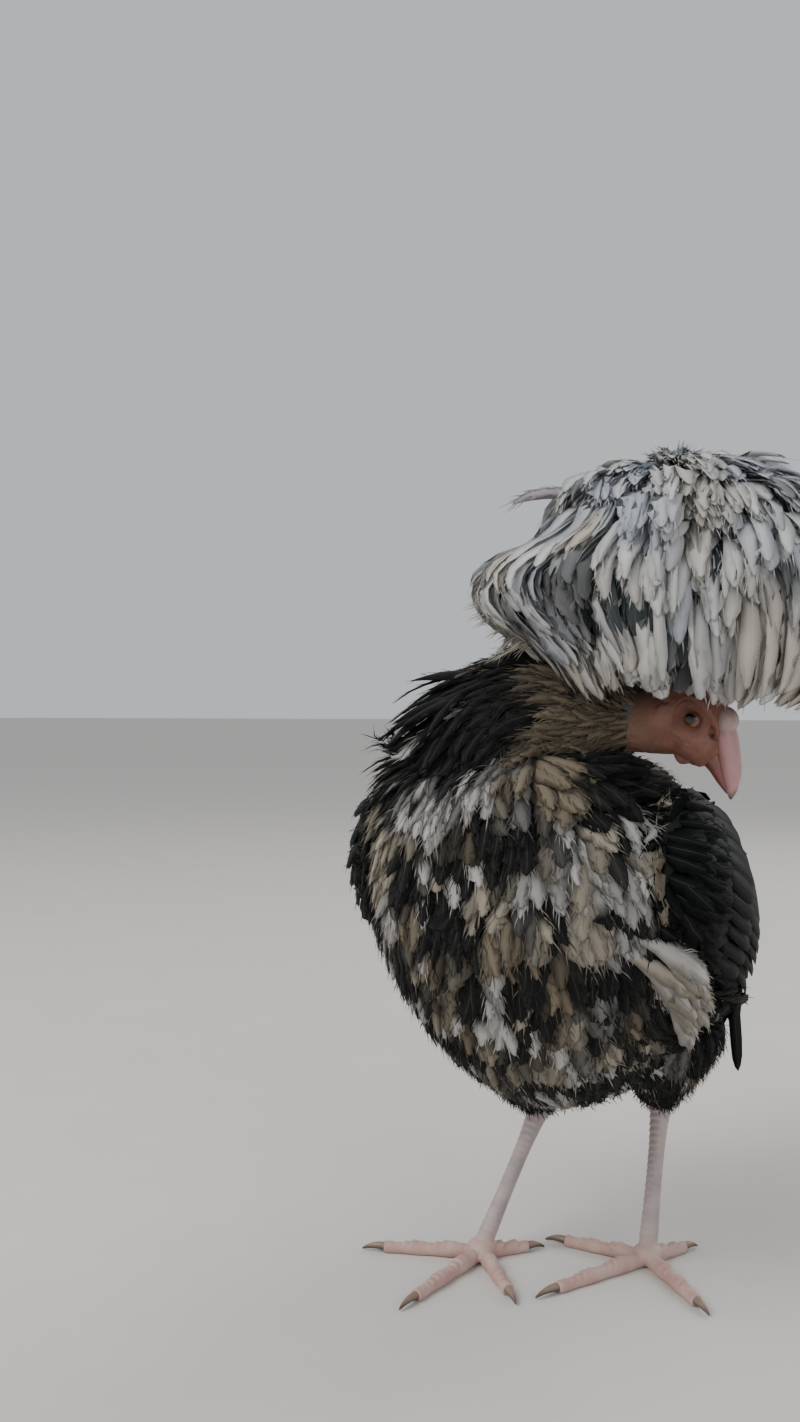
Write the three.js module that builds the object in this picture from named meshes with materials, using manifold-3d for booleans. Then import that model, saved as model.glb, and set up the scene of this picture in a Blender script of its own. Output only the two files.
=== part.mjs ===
// A crested hen standing with its head lowered and turned to its left, at life size.
// Millimetres, +Z up. The hen faces -Y, its left side is +X, and its toes stand on z = 0.

import * as THREE from 'three';
import { mergeVertices } from 'three/addons/utils/BufferGeometryUtils.js';
import Module from 'manifold-3d';

const wasm = await Module();
wasm.setup();

// Driving dimensions

const GAP = 0.3; // clearance between neighbouring nodes
const SINK = 3; // how far a root or a backing face lies inside what carries it

// How many sides and rings the round forms have
const SIDES = {
  trunk: 24, neck: 16, skull: 14, lid: 10, lobe: 8, eye: 12, upperBill: 12, lowerBill: 10,
  horn: 6, comb: 10, core: 12, wing: 12, tail: 14, thigh: 14, shank: 8, hub: 12, toe: 8, claw: 6,
};
const RINGS = { trunk: 13, neck: 8, lid: 4, horn: 3, thigh: 6, shank: 6, toe: 7 };

// Cross-sections of the trunk from breast to rump, each seen from the front.
// egg lifts the widest place above the middle of the section, or lowers it below.
const TRUNK = [
  { y: -102, halfWidth: 24, top: 226, bottom: 178, egg: 0.05 },
  { y: -96, halfWidth: 44, top: 244, bottom: 156, egg: 0.1 },
  { y: -78, halfWidth: 69, top: 268, bottom: 123, egg: 0.18 },
  { y: -48, halfWidth: 86, top: 280, bottom: 97, egg: 0.25 },
  { y: -12, halfWidth: 88, top: 276, bottom: 83, egg: 0.24 },
  { y: 28, halfWidth: 87, top: 259, bottom: 81, egg: 0.14 },
  { y: 66, halfWidth: 75, top: 232, bottom: 91, egg: 0.05 },
  { y: 98, halfWidth: 52, top: 206, bottom: 112, egg: 0.02 },
  { y: 120, halfWidth: 30, top: 190, bottom: 136, egg: 0 },
];
const BREAST_TIP = { y: -104, z: 203 };
const RUMP_TIP = { y: 130, z: 164 };
const TRUNK_LEAN = -8; // how far the top of the back leans away from the lowered head

// The neck's centre line from the trunk to the head, with its radius in feather
const NECK = [
  { at: [-12, -40, 236], radius: 55 },
  { at: [-10, -42, 262], radius: 47 },
  { at: [6, -42, 281], radius: 37 },
  { at: [34, -38, 282], radius: 26 },
  { at: [62, -34, 280], radius: 17 },
];

// Hackle feathers in rows down the neck: from and to are places along its line
const HACKLE = [
  { count: 7, from: 0.8, to: 0.5, halfWidth: 9, stand: 3 },
  { count: 8, from: 0.56, to: 0.22, halfWidth: 14.5, stand: 4 },
  { count: 9, from: 0.38, to: -0.04, halfWidth: 17, stand: 4 },
];
const HACKLE_THICKNESS = 1.6;
const HACKLE_TILT = 1; // how much further out one edge of a feather stands than its middle
const HACKLE_LOOSE = { turn: 0.2, end: 0.04, lean: 0.12 };
const HACKLE_HANG = 120; // how far the feathers reach down past the neck's lower end

// The head is built facing -Y about the middle of the skull, then turned and lowered
const HEAD_AT = [81.3, -32.5, 278.9];
const HEAD_TURN = 94;
const HEAD_PITCH = 52;
const SKULL = [
  { y: 19, halfWidth: 12, halfHeight: 13, z: 2 },
  { y: 10, halfWidth: 16, halfHeight: 17.5, z: 1 },
  { y: 1, halfWidth: 16.5, halfHeight: 18, z: 0 },
  { y: -7, halfWidth: 13.8, halfHeight: 14.2, z: -2 },
  { y: -13, halfWidth: 10.4, halfHeight: 10.2, z: -3.4 },
  { y: -17, halfWidth: 7, halfHeight: 7, z: -4 },
];
const OCCIPUT = { y: 23, z: 3 };
const FACE_TIP = { y: -19.5, z: -4 };

const EYE = { x: 11.4, y: 1.5, z: 2, radius: 6 };
const LID = { x: 14.6, ring: 6, thickness: 1.5 };
const EARLOBE = { at: [14.3, 11.5, -7], size: [2.4, 4, 5.2] };
const MOUTH = { at: [0, -14.5, 0.4], size: [40, 9, 0.8] };
const WATTLE = { at: [4.4, -8, -13.5], size: [2, 4.5, 3.6] };
const COMB_HORN = { root: [2.6, 2, 17.5], tip: [4.2, 4, 21.2], rootRadius: 2.4, tipRadius: 1 };
const COMB_BASE = { at: [0, 1, 17], size: [4.5, 3.4, 3.4] };
const NOSTRIL_DOME = { at: [3.4, -7, 12.6], size: [5.6, 6.4, 6.2] };
const NOSTRIL = { at: [8, -12.4, 7], size: [1.8, 2.8, 1] };

// Half-sections of the bill, from its root to just before its tip
const UPPER_BILL = [
  { y: -9, halfWidth: 7, halfHeight: 5.6, z: 10.4 },
  { y: -14, halfWidth: 7.2, halfHeight: 6.6, z: 9 },
  { y: -21, halfWidth: 6.2, halfHeight: 6.4, z: 6.2 },
  { y: -28, halfWidth: 5, halfHeight: 5.8, z: 2.2 },
  { y: -34, halfWidth: 3.6, halfHeight: 4.6, z: -2.2 },
  { y: -37.2, halfWidth: 2, halfHeight: 2.8, z: -5.6 },
];
const UPPER_TIP = { y: -38.8, z: -8.6 };
const LOWER_BILL = [
  { y: -14, halfWidth: 6, halfHeight: 6, z: -5 },
  { y: -22, halfWidth: 4.6, halfHeight: 4.2, z: -5 },
  { y: -29, halfWidth: 3.2, halfHeight: 2.6, z: -6.6 },
  { y: -33, halfWidth: 2, halfHeight: 1.3, z: -7.9 },
];
const LOWER_TIP = { y: -35.5, z: -8.8 };

// The crest: feathers that rise from a core on the crown and arch over to a globe.
// A tier's polar angle is where its tips lie, from 0 at the top of the globe, and rise is
// the share of that angle at which its feathers come up. The first tier crosses the top.
const CREST_CENTRE = [70, -30, 346];
const CREST_SIZE = [94, 88, 61];
const CREST_CORE = { at: [76, -30, 333], size: [44, 41, 31] };
const CREST_TIERS = [
  { polar: 26, rise: -0.9, count: 3, halfWidth: 16 },
  { polar: 47, rise: 0.3, count: 7, halfWidth: 16.5 },
  { polar: 68, rise: 0.5, count: 11, halfWidth: 16.5 },
  { polar: 90, rise: 0.6, count: 13, halfWidth: 16.5 },
  { polar: 112, rise: 0.66, count: 13, halfWidth: 16.5 },
  { polar: 133, rise: 0.66, count: 12, halfWidth: 15 },
  { polar: 154, rise: 0.66, count: 10, halfWidth: 12.5 },
];
const CREST_THICKNESS = 2;
const CREST_BELL = 0.2; // how far the lowest tips draw in, as a share of the globe's width
// On one side the globe is notched high up, swells out at its middle and draws in below.
// Each row is the share of the globe's width that is left at a height from -1 to 1.
const CREST_SWEEP = {
  toward: [-0.876, -0.482, 0],
  from: 0.1,
  full: 0.7,
  rows: [
    { height: -1, share: 0.95 },
    { height: -0.84, share: 0.84 },
    { height: -0.64, share: 0.82 },
    { height: -0.49, share: 0.88 },
    { height: -0.2, share: 1.05 },
    { height: 0, share: 1.06 },
    { height: 0.18, share: 0.94 },
    { height: 0.3, share: 0.82 },
    { height: 0.44, share: 0.79 },
    { height: 0.6, share: 0.85 },
    { height: 0.75, share: 0.93 },
    { height: 1, share: 1 },
  ],
};
const CREST_PINWHEEL = 9; // degrees that each feather tilts over its neighbour
const CREST_LOOSE = { turn: 0.25, polar: 4, width: 0.1, reach: 0.035, tilt: 5 };
const CREST_STEP = 0.012; // how much closer to the core each lower tier lies
const CREST_BEND = { root: 0.5, depth: 0.8, rise: 0.66, under: 0.96 };

// The folded wing's line from shoulder to tip on the hen's left side
const WING = [
  { y: -66, z: 214, halfHeight: 20, lift: 3 },
  { y: -42, z: 212, halfHeight: 38, lift: 4 },
  { y: 0, z: 196, halfHeight: 46, lift: 4 },
  { y: 44, z: 176, halfHeight: 42, lift: 4 },
  { y: 84, z: 156, halfHeight: 30, lift: 4 },
  { y: 112, z: 143, halfHeight: 17, lift: 3 },
];
const WING_FRONT = { y: -74, z: 213 };
const WING_TIP = { y: 132, z: 134 };
const WING_FREE_X = { y: [-80, 40, 134], x: [40, 76, 50] };
const WING_EASE = 6; // how softly the wing leaves the trunk's side

// Rows of wing feathers, upper to lower: each row's first and last root and tip as [y, z]
const WING_ROWS = [
  { count: 3, roots: [[-64, 227], [-62, 202]], tips: [[-24, 230], [-28, 184]], halfWidth: 13 },
  { count: 4, roots: [[-38, 238], [-38, 186]], tips: [[6, 222], [2, 164]], halfWidth: 12.5 },
  { count: 5, roots: [[-4, 229], [-8, 168]], tips: [[46, 206], [42, 144]], halfWidth: 11 },
  { count: 6, roots: [[30, 208], [26, 152]], tips: [[92, 184], [134, 130]], halfWidth: 9.5 },
  { count: 2, roots: [[64, 140], [56, 132]], tips: [[144, 120], [132, 108]], halfWidth: 6 },
];
const WING_STAND = { root: -2, tip: 3.4, tilt: 1 };
const WING_THICKNESS = 1.7;
const WING_LOOSE = 2.5; // how unevenly a row's tips lie
const LOOSE_QUILL = { root: [34, 152], tip: [66, 92], halfWidth: 3.6 };

// The tail: a tapering stub on the rump that carries the fan, and coverts over its root
const TAIL_STUB = [
  { y: 94, halfWidth: 37, halfHeight: 27, z: 172 },
  { y: 114, halfWidth: 32, halfHeight: 23, z: 172 },
  { y: 132, halfWidth: 24, halfHeight: 16, z: 175 },
  { y: 148, halfWidth: 15, halfHeight: 9, z: 180 },
];
const TAIL_STUB_ENDS = [{ y: 86, z: 172 }, { y: 158, z: 184 }];
const TAIL_ROWS = [
  {
    perSide: 5,
    start: { x: 3, y: 118, z: 177, spread: 1.6, drop: 2.2 },
    tip: { x: 5, y: 210, z: 203, spread: 6, drop: 9.5 },
    halfWidth: 10.5,
  },
  {
    perSide: 2,
    start: { x: 9, y: 104, z: 190, spread: 12, drop: 7 },
    tip: { x: 8, y: 162, z: 200, spread: 11, drop: 14 },
    halfWidth: 12,
  },
];
const TAIL_THICKNESS = 1.8;
const TAIL_FACE = { side: 0.5, turn: 0.11, back: -0.2, up: 0.8, fall: 0.1 };
const TAIL_FAN = { arch: 4, tilt: 1.1, step: 1.3, shorter: 3 };

// The legs: hub is the ball of the foot, toes are [direction, length, claw length]
const LEGS = [
  {
    side: 'right',
    hip: [-44, 4, 132],
    hock: [-20, 24, 73],
    hub: [-37, -17],
    toes: { hallux: [48, 26, 10], inner: [312, 45, 12], middle: [264, 61, 14], outer: [200, 51, 12] },
  },
  {
    side: 'left',
    hip: [48, 22, 132],
    hock: [38.5, 50, 79],
    hub: [41, 18],
    toes: { hallux: [62, 26, 10], inner: [179, 45, 12], middle: [243, 61, 14], outer: [315, 51, 12] },
  },
];
const THIGH_RADII = [36, 30, 20, 11];
const SHANK_RADII = [6.2, 4.3, 3.9, 4.2, 5];
const HUB = { radius: 8, height: 5.5, sink: 1 };
const SHANK_SCUTES = { count: 7, length: 7.6, from: 0.18, to: 0.88, reach: 72, height: 0.9 };
const TOE_SCUTES = { spacing: 14, cover: 0.8, reach: 50, height: 0.8 };
const TOE = { rootRadius: 4.3, tipRadius: 2.9, joints: 3, swell: 0.1, rise: 0.8 };
const CLAW = { radii: [2.3, 1.9, 1.3, 0.6], heights: [2.7, 3.2, 2.6, 1.3] };

// Vectors, curves and closed surfaces

const vector = ([x, y, z]) => new THREE.Vector3(x, y, z);
const radians = THREE.MathUtils.degToRad;
const lerp = THREE.MathUtils.lerp;
const UP = vector([0, 0, 1]);

// Smooth values between the rows of a table, looked up by one of its columns
function table(rows, key, columns) {
  const places = rows.map((row) => row[key]);
  const values = rows.flatMap((row) => columns.map((column) => row[column]));
  const curve = new THREE.CubicInterpolant(places, values, columns.length);
  const first = places[0];
  const last = places[places.length - 1];
  return (place) => {
    const found = curve.evaluate(THREE.MathUtils.clamp(place, first, last));
    return Object.fromEntries(columns.map((column, i) => [column, found[i]]));
  };
}

// A closed surface through rings of points. A ring of one point closes an end to a tip,
// and any other end ring is closed by a flat fan. Faces are turned to point out.
function skin(rings) {
  const positions = [];
  const triangles = [];
  const starts = [];
  rings.forEach((ring) => {
    starts.push(positions.length / 3);
    ring.forEach((point) => positions.push(point.x, point.y, point.z));
  });
  for (let k = 0; k + 1 < rings.length; k += 1) {
    const [near, far] = [rings[k], rings[k + 1]];
    const sides = Math.max(near.length, far.length);
    for (let i = 0; i < sides; i += 1) {
      const j = (i + 1) % sides;
      const a = starts[k] + (near.length > 1 ? i : 0);
      const b = starts[k] + (near.length > 1 ? j : 0);
      const c = starts[k + 1] + (far.length > 1 ? j : 0);
      const d = starts[k + 1] + (far.length > 1 ? i : 0);
      if (near.length > 1) triangles.push(a, b, c);
      if (far.length > 1) triangles.push(a, c, d);
    }
  }
  const ends = [[0, -1], [rings.length - 1, 1]];
  ends.forEach(([ring, turn]) => {
    for (let i = 1; i + 1 < rings[ring].length; i += 1) {
      const fan = [starts[ring], starts[ring] + i, starts[ring] + i + 1];
      if (turn < 0) fan.reverse();
      triangles.push(...fan);
    }
  });
  return outward(positions, triangles);
}

function outward(positions, triangles) {
  const point = (i) => new THREE.Vector3().fromArray(positions, 3 * i);
  let volume = 0;
  for (let i = 0; i < triangles.length; i += 3) {
    const [a, b, c] = [0, 1, 2].map((k) => point(triangles[i + k]));
    volume += a.dot(b.cross(c));
  }
  if (volume < 0) triangles.reverse();
  const geometry = new THREE.BufferGeometry();
  geometry.setAttribute('position', new THREE.Float32BufferAttribute(positions, 3));
  geometry.setIndex(triangles);
  return geometry;
}

// An ellipsoid of the given half-sizes
function ellipsoid(centre, size, sides) {
  const geometry = new THREE.SphereGeometry(1, sides, Math.ceil(sides / 2));
  return geometry.scale(...size).translate(...centre);
}

// The line of a limb: its centre, radius and frame at each place from 0 to 1 along it
function limbLine(stations) {
  const line = new THREE.CatmullRomCurve3(stations.map((station) => vector(station.at)));
  const radii = new THREE.CubicInterpolant(
    stations.map((station, i) => i / (stations.length - 1)),
    stations.map((station) => station.radius),
    1,
  );
  return (t) => {
    const along = line.getTangent(t);
    const across = new THREE.Vector3(0, 1, 0).cross(along).normalize();
    const up = along.clone().cross(across);
    return { centre: line.getPoint(t), radius: radii.evaluate(t)[0], along, across, up };
  };
}

// A round body along a line of stations, each with its place and radius
function limb(stations, sides, rings) {
  const line = limbLine(stations);
  const steps = Array.from({ length: rings }, (unused, i) => i / (rings - 1));
  return skin(steps.map((t) => {
    const { centre, across, up, radius } = line(t);
    return circle(centre, across, up, radius, sides);
  }));
}

function circle(centre, across, up, radius, sides) {
  return Array.from({ length: sides }, (unused, i) => {
    const angle = (2 * Math.PI * i) / sides;
    return centre.clone()
      .addScaledVector(across, radius * Math.cos(angle))
      .addScaledVector(up, radius * Math.sin(angle));
  });
}

// A seeded run of numbers from -1 to 1
function seeded(seed) {
  let state = seed;
  return () => {
    state = (state * 1664525 + 1013904223) % 4294967296;
    return (2 * state) / 4294967296 - 1;
  };
}

// A feather's cross-sections: where each lies along it, how wide it is and how thick
const BENT_VANE = [
  { place: 0, width: 0.4, depth: 1 },
  { place: 0.36, width: 0.9, depth: 1 },
  { place: 0.68, width: 1, depth: 0.85 },
  { place: 0.9, width: 0.6, depth: 0.65 },
];
const FLAT_VANE = [
  { place: 0, width: 0.5, depth: 1 },
  { place: 0.5, width: 1, depth: 1 },
  { place: 0.86, width: 0.8, depth: 0.7 },
];

// A feather: a blade with a ridge along both faces and a pointed end. at(t, across) gives
// its middle surface, with across from -1 to 1, and out(t) the way its upper face looks.
function vane(sections, at, out, thickness) {
  const positions = [];
  sections.forEach(({ place, width, depth }) => {
    const ridge = out(place).clone().multiplyScalar((thickness * depth) / 2);
    const middle = at(place, 0);
    const faces = [middle.clone().add(ridge), middle.clone().sub(ridge)];
    const ring = [at(place, -width), faces[0], at(place, width), faces[1]];
    ring.forEach((point) => positions.push(...point.toArray()));
  });
  positions.push(...at(1, 0).toArray());
  const triangles = [0, 3, 1, 1, 3, 2];
  const last = 4 * (sections.length - 1);
  for (let near = 0; near < last; near += 4) {
    const [left, top, right, under] = [near, near + 1, near + 2, near + 3];
    triangles.push(left, top, top + 4, left, top + 4, left + 4);
    triangles.push(top, right, top + 4, right, right + 4, top + 4);
    triangles.push(right, under, under + 4, right, under + 4, right + 4);
    triangles.push(under, left, under + 4, left, left + 4, under + 4);
  }
  for (let i = 0; i < 4; i += 1) {
    triangles.push(last + i, last + ((i + 1) % 4), last + 4);
  }
  return outward(positions, triangles);
}

// A horny plate over part of a round limb: its lower edge stands up, its upper edge is sunk
function scute(centre, down, front, radius, length, reach, height) {
  const across = down.clone().cross(front);
  const upper = centre.clone().addScaledVector(down, -length / 2);
  const lower = centre.clone().addScaledVector(down, length / 2);
  const rings = [-1, 0, 1].map((turn) => {
    const angle = radians(reach * turn);
    const outwards = front.clone().multiplyScalar(Math.cos(angle)).addScaledVector(across, Math.sin(angle));
    return [
      upper.clone().addScaledVector(outwards, radius - height),
      lower.clone().addScaledVector(outwards, radius + height * Math.cos(angle)),
      lower.clone().addScaledVector(outwards, radius - 2 * height),
    ];
  });
  return skin(rings);
}

// Sections that lie across the Y axis, each an ellipse, closed to a tip at both ends
function lengthwise(stations, sides, front, back) {
  const tip = (end) => [new THREE.Vector3(0, end.y, end.z)];
  const rings = stations.map((station) => circle(
    new THREE.Vector3(0, station.y, station.z),
    new THREE.Vector3(station.halfWidth, 0, 0),
    new THREE.Vector3(0, 0, station.halfHeight),
    1,
    sides,
  ));
  if (front) rings.unshift(tip(front));
  if (back) rings.push(tip(back));
  return skin(rings);
}

// The same surface moved outwards, to cut a neighbour clear of it
function grown(geometry, amount) {
  const moved = welded(geometry);
  moved.computeVertexNormals();
  const { position, normal } = moved.attributes;
  for (let i = 0; i < position.count; i += 1) {
    position.setXYZ(
      i,
      position.getX(i) + amount * normal.getX(i),
      position.getY(i) + amount * normal.getY(i),
      position.getZ(i) + amount * normal.getZ(i),
    );
  }
  return moved;
}

function welded(geometry) {
  const copy = geometry.clone();
  copy.deleteAttribute('normal');
  copy.deleteAttribute('uv');
  return mergeVertices(copy, 1e-5);
}

// Solids: joining, cutting and keeping one closed body

function solid(geometry) {
  const shape = welded(geometry);
  return new wasm.Manifold(new wasm.Mesh({
    numProp: 3,
    vertProperties: new Float32Array(shape.attributes.position.array),
    triVerts: new Uint32Array(shape.index.array),
  }));
}

function joined(geometries) {
  return wasm.Manifold.union(geometries.map(solid));
}

function largest(body) {
  const pieces = body.decompose();
  return pieces.reduce((best, piece) => (piece.volume() > best.volume() ? piece : best));
}

// Cuts a body clear of its neighbours
function clearOf(body, neighbours) {
  return neighbours.reduce((rest, geometry) => rest.subtract(solid(grown(geometry, GAP))), body);
}

function mesh(name, body, colour, roughness) {
  const { vertProperties, triVerts, numProp } = largest(body).getMesh();
  const positions = [];
  for (let i = 0; i < vertProperties.length; i += numProp) {
    positions.push(...vertProperties.subarray(i, i + 3));
  }
  const geometry = new THREE.BufferGeometry();
  geometry.setAttribute('position', new THREE.Float32BufferAttribute(positions, 3));
  geometry.setIndex([...triVerts]);
  geometry.computeVertexNormals();
  const material = new THREE.MeshStandardMaterial({ color: colour, roughness, metalness: 0 });
  const made = new THREE.Mesh(geometry, material);
  made.name = name;
  return made;
}

// Trunk

const trunkAt = table(TRUNK, 'y', ['halfWidth', 'top', 'bottom', 'egg']);

function trunkRing(y) {
  const { halfWidth, top, bottom, egg } = trunkAt(y);
  const middle = (top + bottom) / 2;
  const half = (top - bottom) / 2;
  return Array.from({ length: SIDES.trunk }, (unused, i) => {
    const angle = (2 * Math.PI * i) / SIDES.trunk;
    const rise = Math.cos(angle);
    const x = halfWidth * Math.sin(angle) * (1 + egg * rise);
    return new THREE.Vector3(x + lean(rise), y, middle + half * rise);
  });
}

function lean(rise) {
  return TRUNK_LEAN * Math.max(0, rise) ** 2;
}

// How far the trunk's side stands out at a place, on the hen's left or right
function trunkSide(sign, y, z) {
  const { halfWidth, top, bottom, egg } = trunkAt(y);
  const rise = THREE.MathUtils.clamp((2 * z - top - bottom) / (top - bottom), -1, 1);
  return halfWidth * Math.sqrt(1 - rise * rise) * (1 + egg * rise) + sign * lean(rise);
}

function trunk() {
  const front = TRUNK[0].y;
  const back = TRUNK[TRUNK.length - 1].y;
  const rings = Array.from({ length: RINGS.trunk }, (unused, i) => {
    const turn = (Math.PI * i) / (RINGS.trunk - 1);
    return trunkRing(lerp(front, back, (1 - Math.cos(turn)) / 2));
  });
  const tip = (end) => [new THREE.Vector3(0, end.y, end.z)];
  return skin([tip(BREAST_TIP), ...rings, tip(RUMP_TIP)]);
}

// Head, in its own frame

function bothSides([x, y, z]) {
  return [[x, y, z], [-x, y, z]];
}

function skull() {
  return lengthwise(SKULL, SIDES.skull, OCCIPUT, FACE_TIP);
}

function lids() {
  return bothSides([LID.x, EYE.y, EYE.z]).map((at) => (
    new THREE.TorusGeometry(LID.ring, LID.thickness, RINGS.lid, SIDES.lid)
      .rotateY(Math.PI / 2)
      .translate(...at)
  ));
}

function lobes(part) {
  return bothSides(part.at).map((at) => ellipsoid(at, part.size, SIDES.lobe));
}

function eyeball(sign, extra = 0) {
  const size = EYE.radius + extra;
  return ellipsoid([sign * EYE.x, EYE.y, EYE.z], [size, size, size], SIDES.eye);
}

function mouthLine() {
  return new THREE.BoxGeometry(...MOUTH.size).translate(...MOUTH.at);
}

function upperBill() {
  return lengthwise(UPPER_BILL, SIDES.upperBill, null, UPPER_TIP);
}

function lowerBill() {
  return lengthwise(LOWER_BILL, SIDES.lowerBill, null, LOWER_TIP);
}

function combParts() {
  const horns = bothSides(COMB_HORN.root).map((root, i) => {
    const tip = bothSides(COMB_HORN.tip)[i];
    const ends = [{ at: root, radius: COMB_HORN.rootRadius }, { at: tip, radius: COMB_HORN.tipRadius }];
    return limb(ends, SIDES.horn, RINGS.horn);
  });
  return [...horns, ellipsoid(COMB_BASE.at, COMB_BASE.size, SIDES.comb)];
}

function headNodes() {
  const head = joined([skull(), ...lids(), ...lobes(EARLOBE), ...lobes(WATTLE)])
    .subtract(joined([eyeball(1, GAP), eyeball(-1, GAP), mouthLine()]));
  const domes = joined([upperBill(), ...lobes(NOSTRIL_DOME)]).subtract(joined(lobes(NOSTRIL)));
  const bill = clearOf(domes, [skull()]);
  const comb = clearOf(joined(combParts()), [skull(), upperBill(), ...lobes(NOSTRIL_DOME)]);
  const jaw = clearOf(clearOf(joined([lowerBill()]), [skull(), upperBill()]), lobes(WATTLE));
  const group = new THREE.Group();
  group.add(
    mesh('head', head, '#8d5a4b', 0.7),
    mesh('bill_upper', bill, '#c98f86', 0.5),
    mesh('bill_lower', jaw, '#b98378', 0.5),
    mesh('comb', comb, '#b04a44', 0.6),
    mesh('eye_left', joined([eyeball(1)]), '#3a1c10', 0.1),
    mesh('eye_right', joined([eyeball(-1)]), '#3a1c10', 0.1),
  );
  group.position.set(...HEAD_AT);
  group.rotation.set(radians(HEAD_PITCH), 0, radians(HEAD_TURN), 'ZXY');
  return group;
}

// A surface of the head, turned and placed with it, to cut its neighbours
function onHead(geometry) {
  const turn = new THREE.Euler(radians(HEAD_PITCH), 0, radians(HEAD_TURN), 'ZXY');
  const place = new THREE.Matrix4().makeRotationFromEuler(turn).setPosition(...HEAD_AT);
  return geometry.clone().applyMatrix4(place);
}

// Neck

function neck() {
  return limb(NECK, SIDES.neck, RINGS.neck);
}

// Moves a point that lies inside the trunk out to just above its surface
function offTrunk(point, stand) {
  const { halfWidth, top, bottom, egg } = trunkAt(point.y);
  const middle = (top + bottom) / 2;
  const half = (top - bottom) / 2;
  const rise = (point.z - middle) / half;
  const shift = lean(rise);
  const reach = Math.hypot((point.x - shift) / (halfWidth * (1 + egg * rise)), rise);
  const least = 1 + stand / half;
  if (reach >= least) return point;
  point.x = shift + ((point.x - shift) * least) / reach;
  point.z = middle + ((point.z - middle) * least) / reach;
  return point;
}

function hackle() {
  const line = limbLine(NECK);
  const random = seeded(11);
  return HACKLE.flatMap(({ count, from, to, halfWidth, stand }, row) => (
    Array.from({ length: count }, (unused, i) => {
      const angle = (2 * Math.PI * (i + 0.5 * row + HACKLE_LOOSE.turn * random())) / count;
      const end = to + HACKLE_LOOSE.end * random();
      const slant = HACKLE_LOOSE.lean * random();
      const at = (t, across) => {
        const place = lerp(from, end, t);
        const { centre, across: side, up, radius } = line(Math.max(0, place));
        const turn = angle + slant * t + (across * halfWidth) / radius;
        const lift = lerp(-SINK, stand, Math.sqrt(Math.max(0, t))) + HACKLE_TILT * across;
        return offTrunk(
          centre
            .addScaledVector(side, (radius + lift) * Math.cos(turn))
            .addScaledVector(up, (radius + lift) * Math.sin(turn))
            .addScaledVector(UP, HACKLE_HANG * Math.min(0, place)),
          stand + HACKLE_TILT,
        );
      };
      const out = (t) => {
        const across = at(t, 0.5).sub(at(t, -0.5));
        const along = at(Math.min(1, t + 0.05), 0).sub(at(t - 0.05, 0));
        return across.cross(along).normalize();
      };
      return vane(FLAT_VANE, at, out, HACKLE_THICKNESS);
    })
  ));
}

// Crest

const crestSweepAt = table(CREST_SWEEP.rows, 'height', ['share']);

// A point of the crest's globe: polar 0 is its top, below its widest it hangs as a bell, and
// one side of it is swept out of round
function crestPoint(polar, azimuth, reach = 1) {
  const [width, depth, height] = CREST_SIZE;
  const low = Math.max(0, polar - 90) / 50;
  const spread = reach * (polar < 90 ? Math.sin(radians(polar)) : 1 - CREST_BELL * low * low);
  const offset = new THREE.Vector3(
    width * spread * Math.cos(azimuth),
    depth * spread * Math.sin(azimuth),
    height * reach * Math.cos(radians(polar)),
  );
  const toward = vector(CREST_SWEEP.toward).normalize();
  const aside = offset.dot(toward);
  const { share } = crestSweepAt(offset.z / height);
  const part = THREE.MathUtils.smoothstep(aside / width, CREST_SWEEP.from * spread, CREST_SWEEP.full * spread);
  return offset.addScaledVector(toward, aside * (share - 1) * part).add(vector(CREST_CENTRE));
}

// One crest feather: up out of the core, then over and down along the globe
function crestFeather(azimuth, polar, rise, halfWidth, reach, tilt) {
  const aim = new THREE.Vector3().setFromSphericalCoords(1, radians(CREST_BEND.root * polar), azimuth);
  const depth = vector(CREST_CORE.size).multiplyScalar(CREST_BEND.depth);
  const root = vector(CREST_CORE.at).add(new THREE.Vector3(aim.z, aim.x, aim.y).multiply(depth));
  const line = new THREE.CatmullRomCurve3([
    root,
    root.clone().lerp(crestPoint(rise * polar, azimuth, reach), CREST_BEND.rise),
    crestPoint(((1 + rise) / 2) * polar, azimuth, CREST_BEND.under * reach),
    crestPoint(polar, azimuth, reach),
  ]);
  const level = new THREE.Vector3(-Math.sin(azimuth), Math.cos(azimuth), 0);
  const side = (t) => level.clone().applyAxisAngle(line.getTangent(t), radians(tilt));
  const at = (t, across) => line.getPoint(t).addScaledVector(side(t), halfWidth * across);
  const out = (t) => side(t).cross(line.getTangent(t)).normalize();
  return vane(BENT_VANE, at, out, CREST_THICKNESS);
}

function crest() {
  const random = seeded(5);
  const feathers = CREST_TIERS.flatMap(({ polar, rise, count, halfWidth }, tier) => (
    Array.from({ length: count }, (unused, i) => crestFeather(
      (2 * Math.PI * (i + 0.5 * tier + CREST_LOOSE.turn * random())) / count,
      polar + CREST_LOOSE.polar * random(),
      rise,
      halfWidth * (1 + CREST_LOOSE.width * random()),
      1 + CREST_LOOSE.reach * random() - CREST_STEP * tier,
      CREST_PINWHEEL + CREST_LOOSE.tilt * random(),
    ))
  ));
  return joined([ellipsoid(CREST_CORE.at, CREST_CORE.size, SIDES.core), ...feathers]);
}

// Wings

const wingFree = new THREE.CubicInterpolant(WING_FREE_X.y, WING_FREE_X.x, 1);

// The surface that the wing lies on: the trunk's side, or a straight line back past it
function wingX(sign, y, z) {
  const side = trunkSide(sign, y, z);
  const free = wingFree.evaluate(y)[0];
  return (side + free + Math.hypot(side - free, WING_EASE)) / 2;
}

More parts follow.
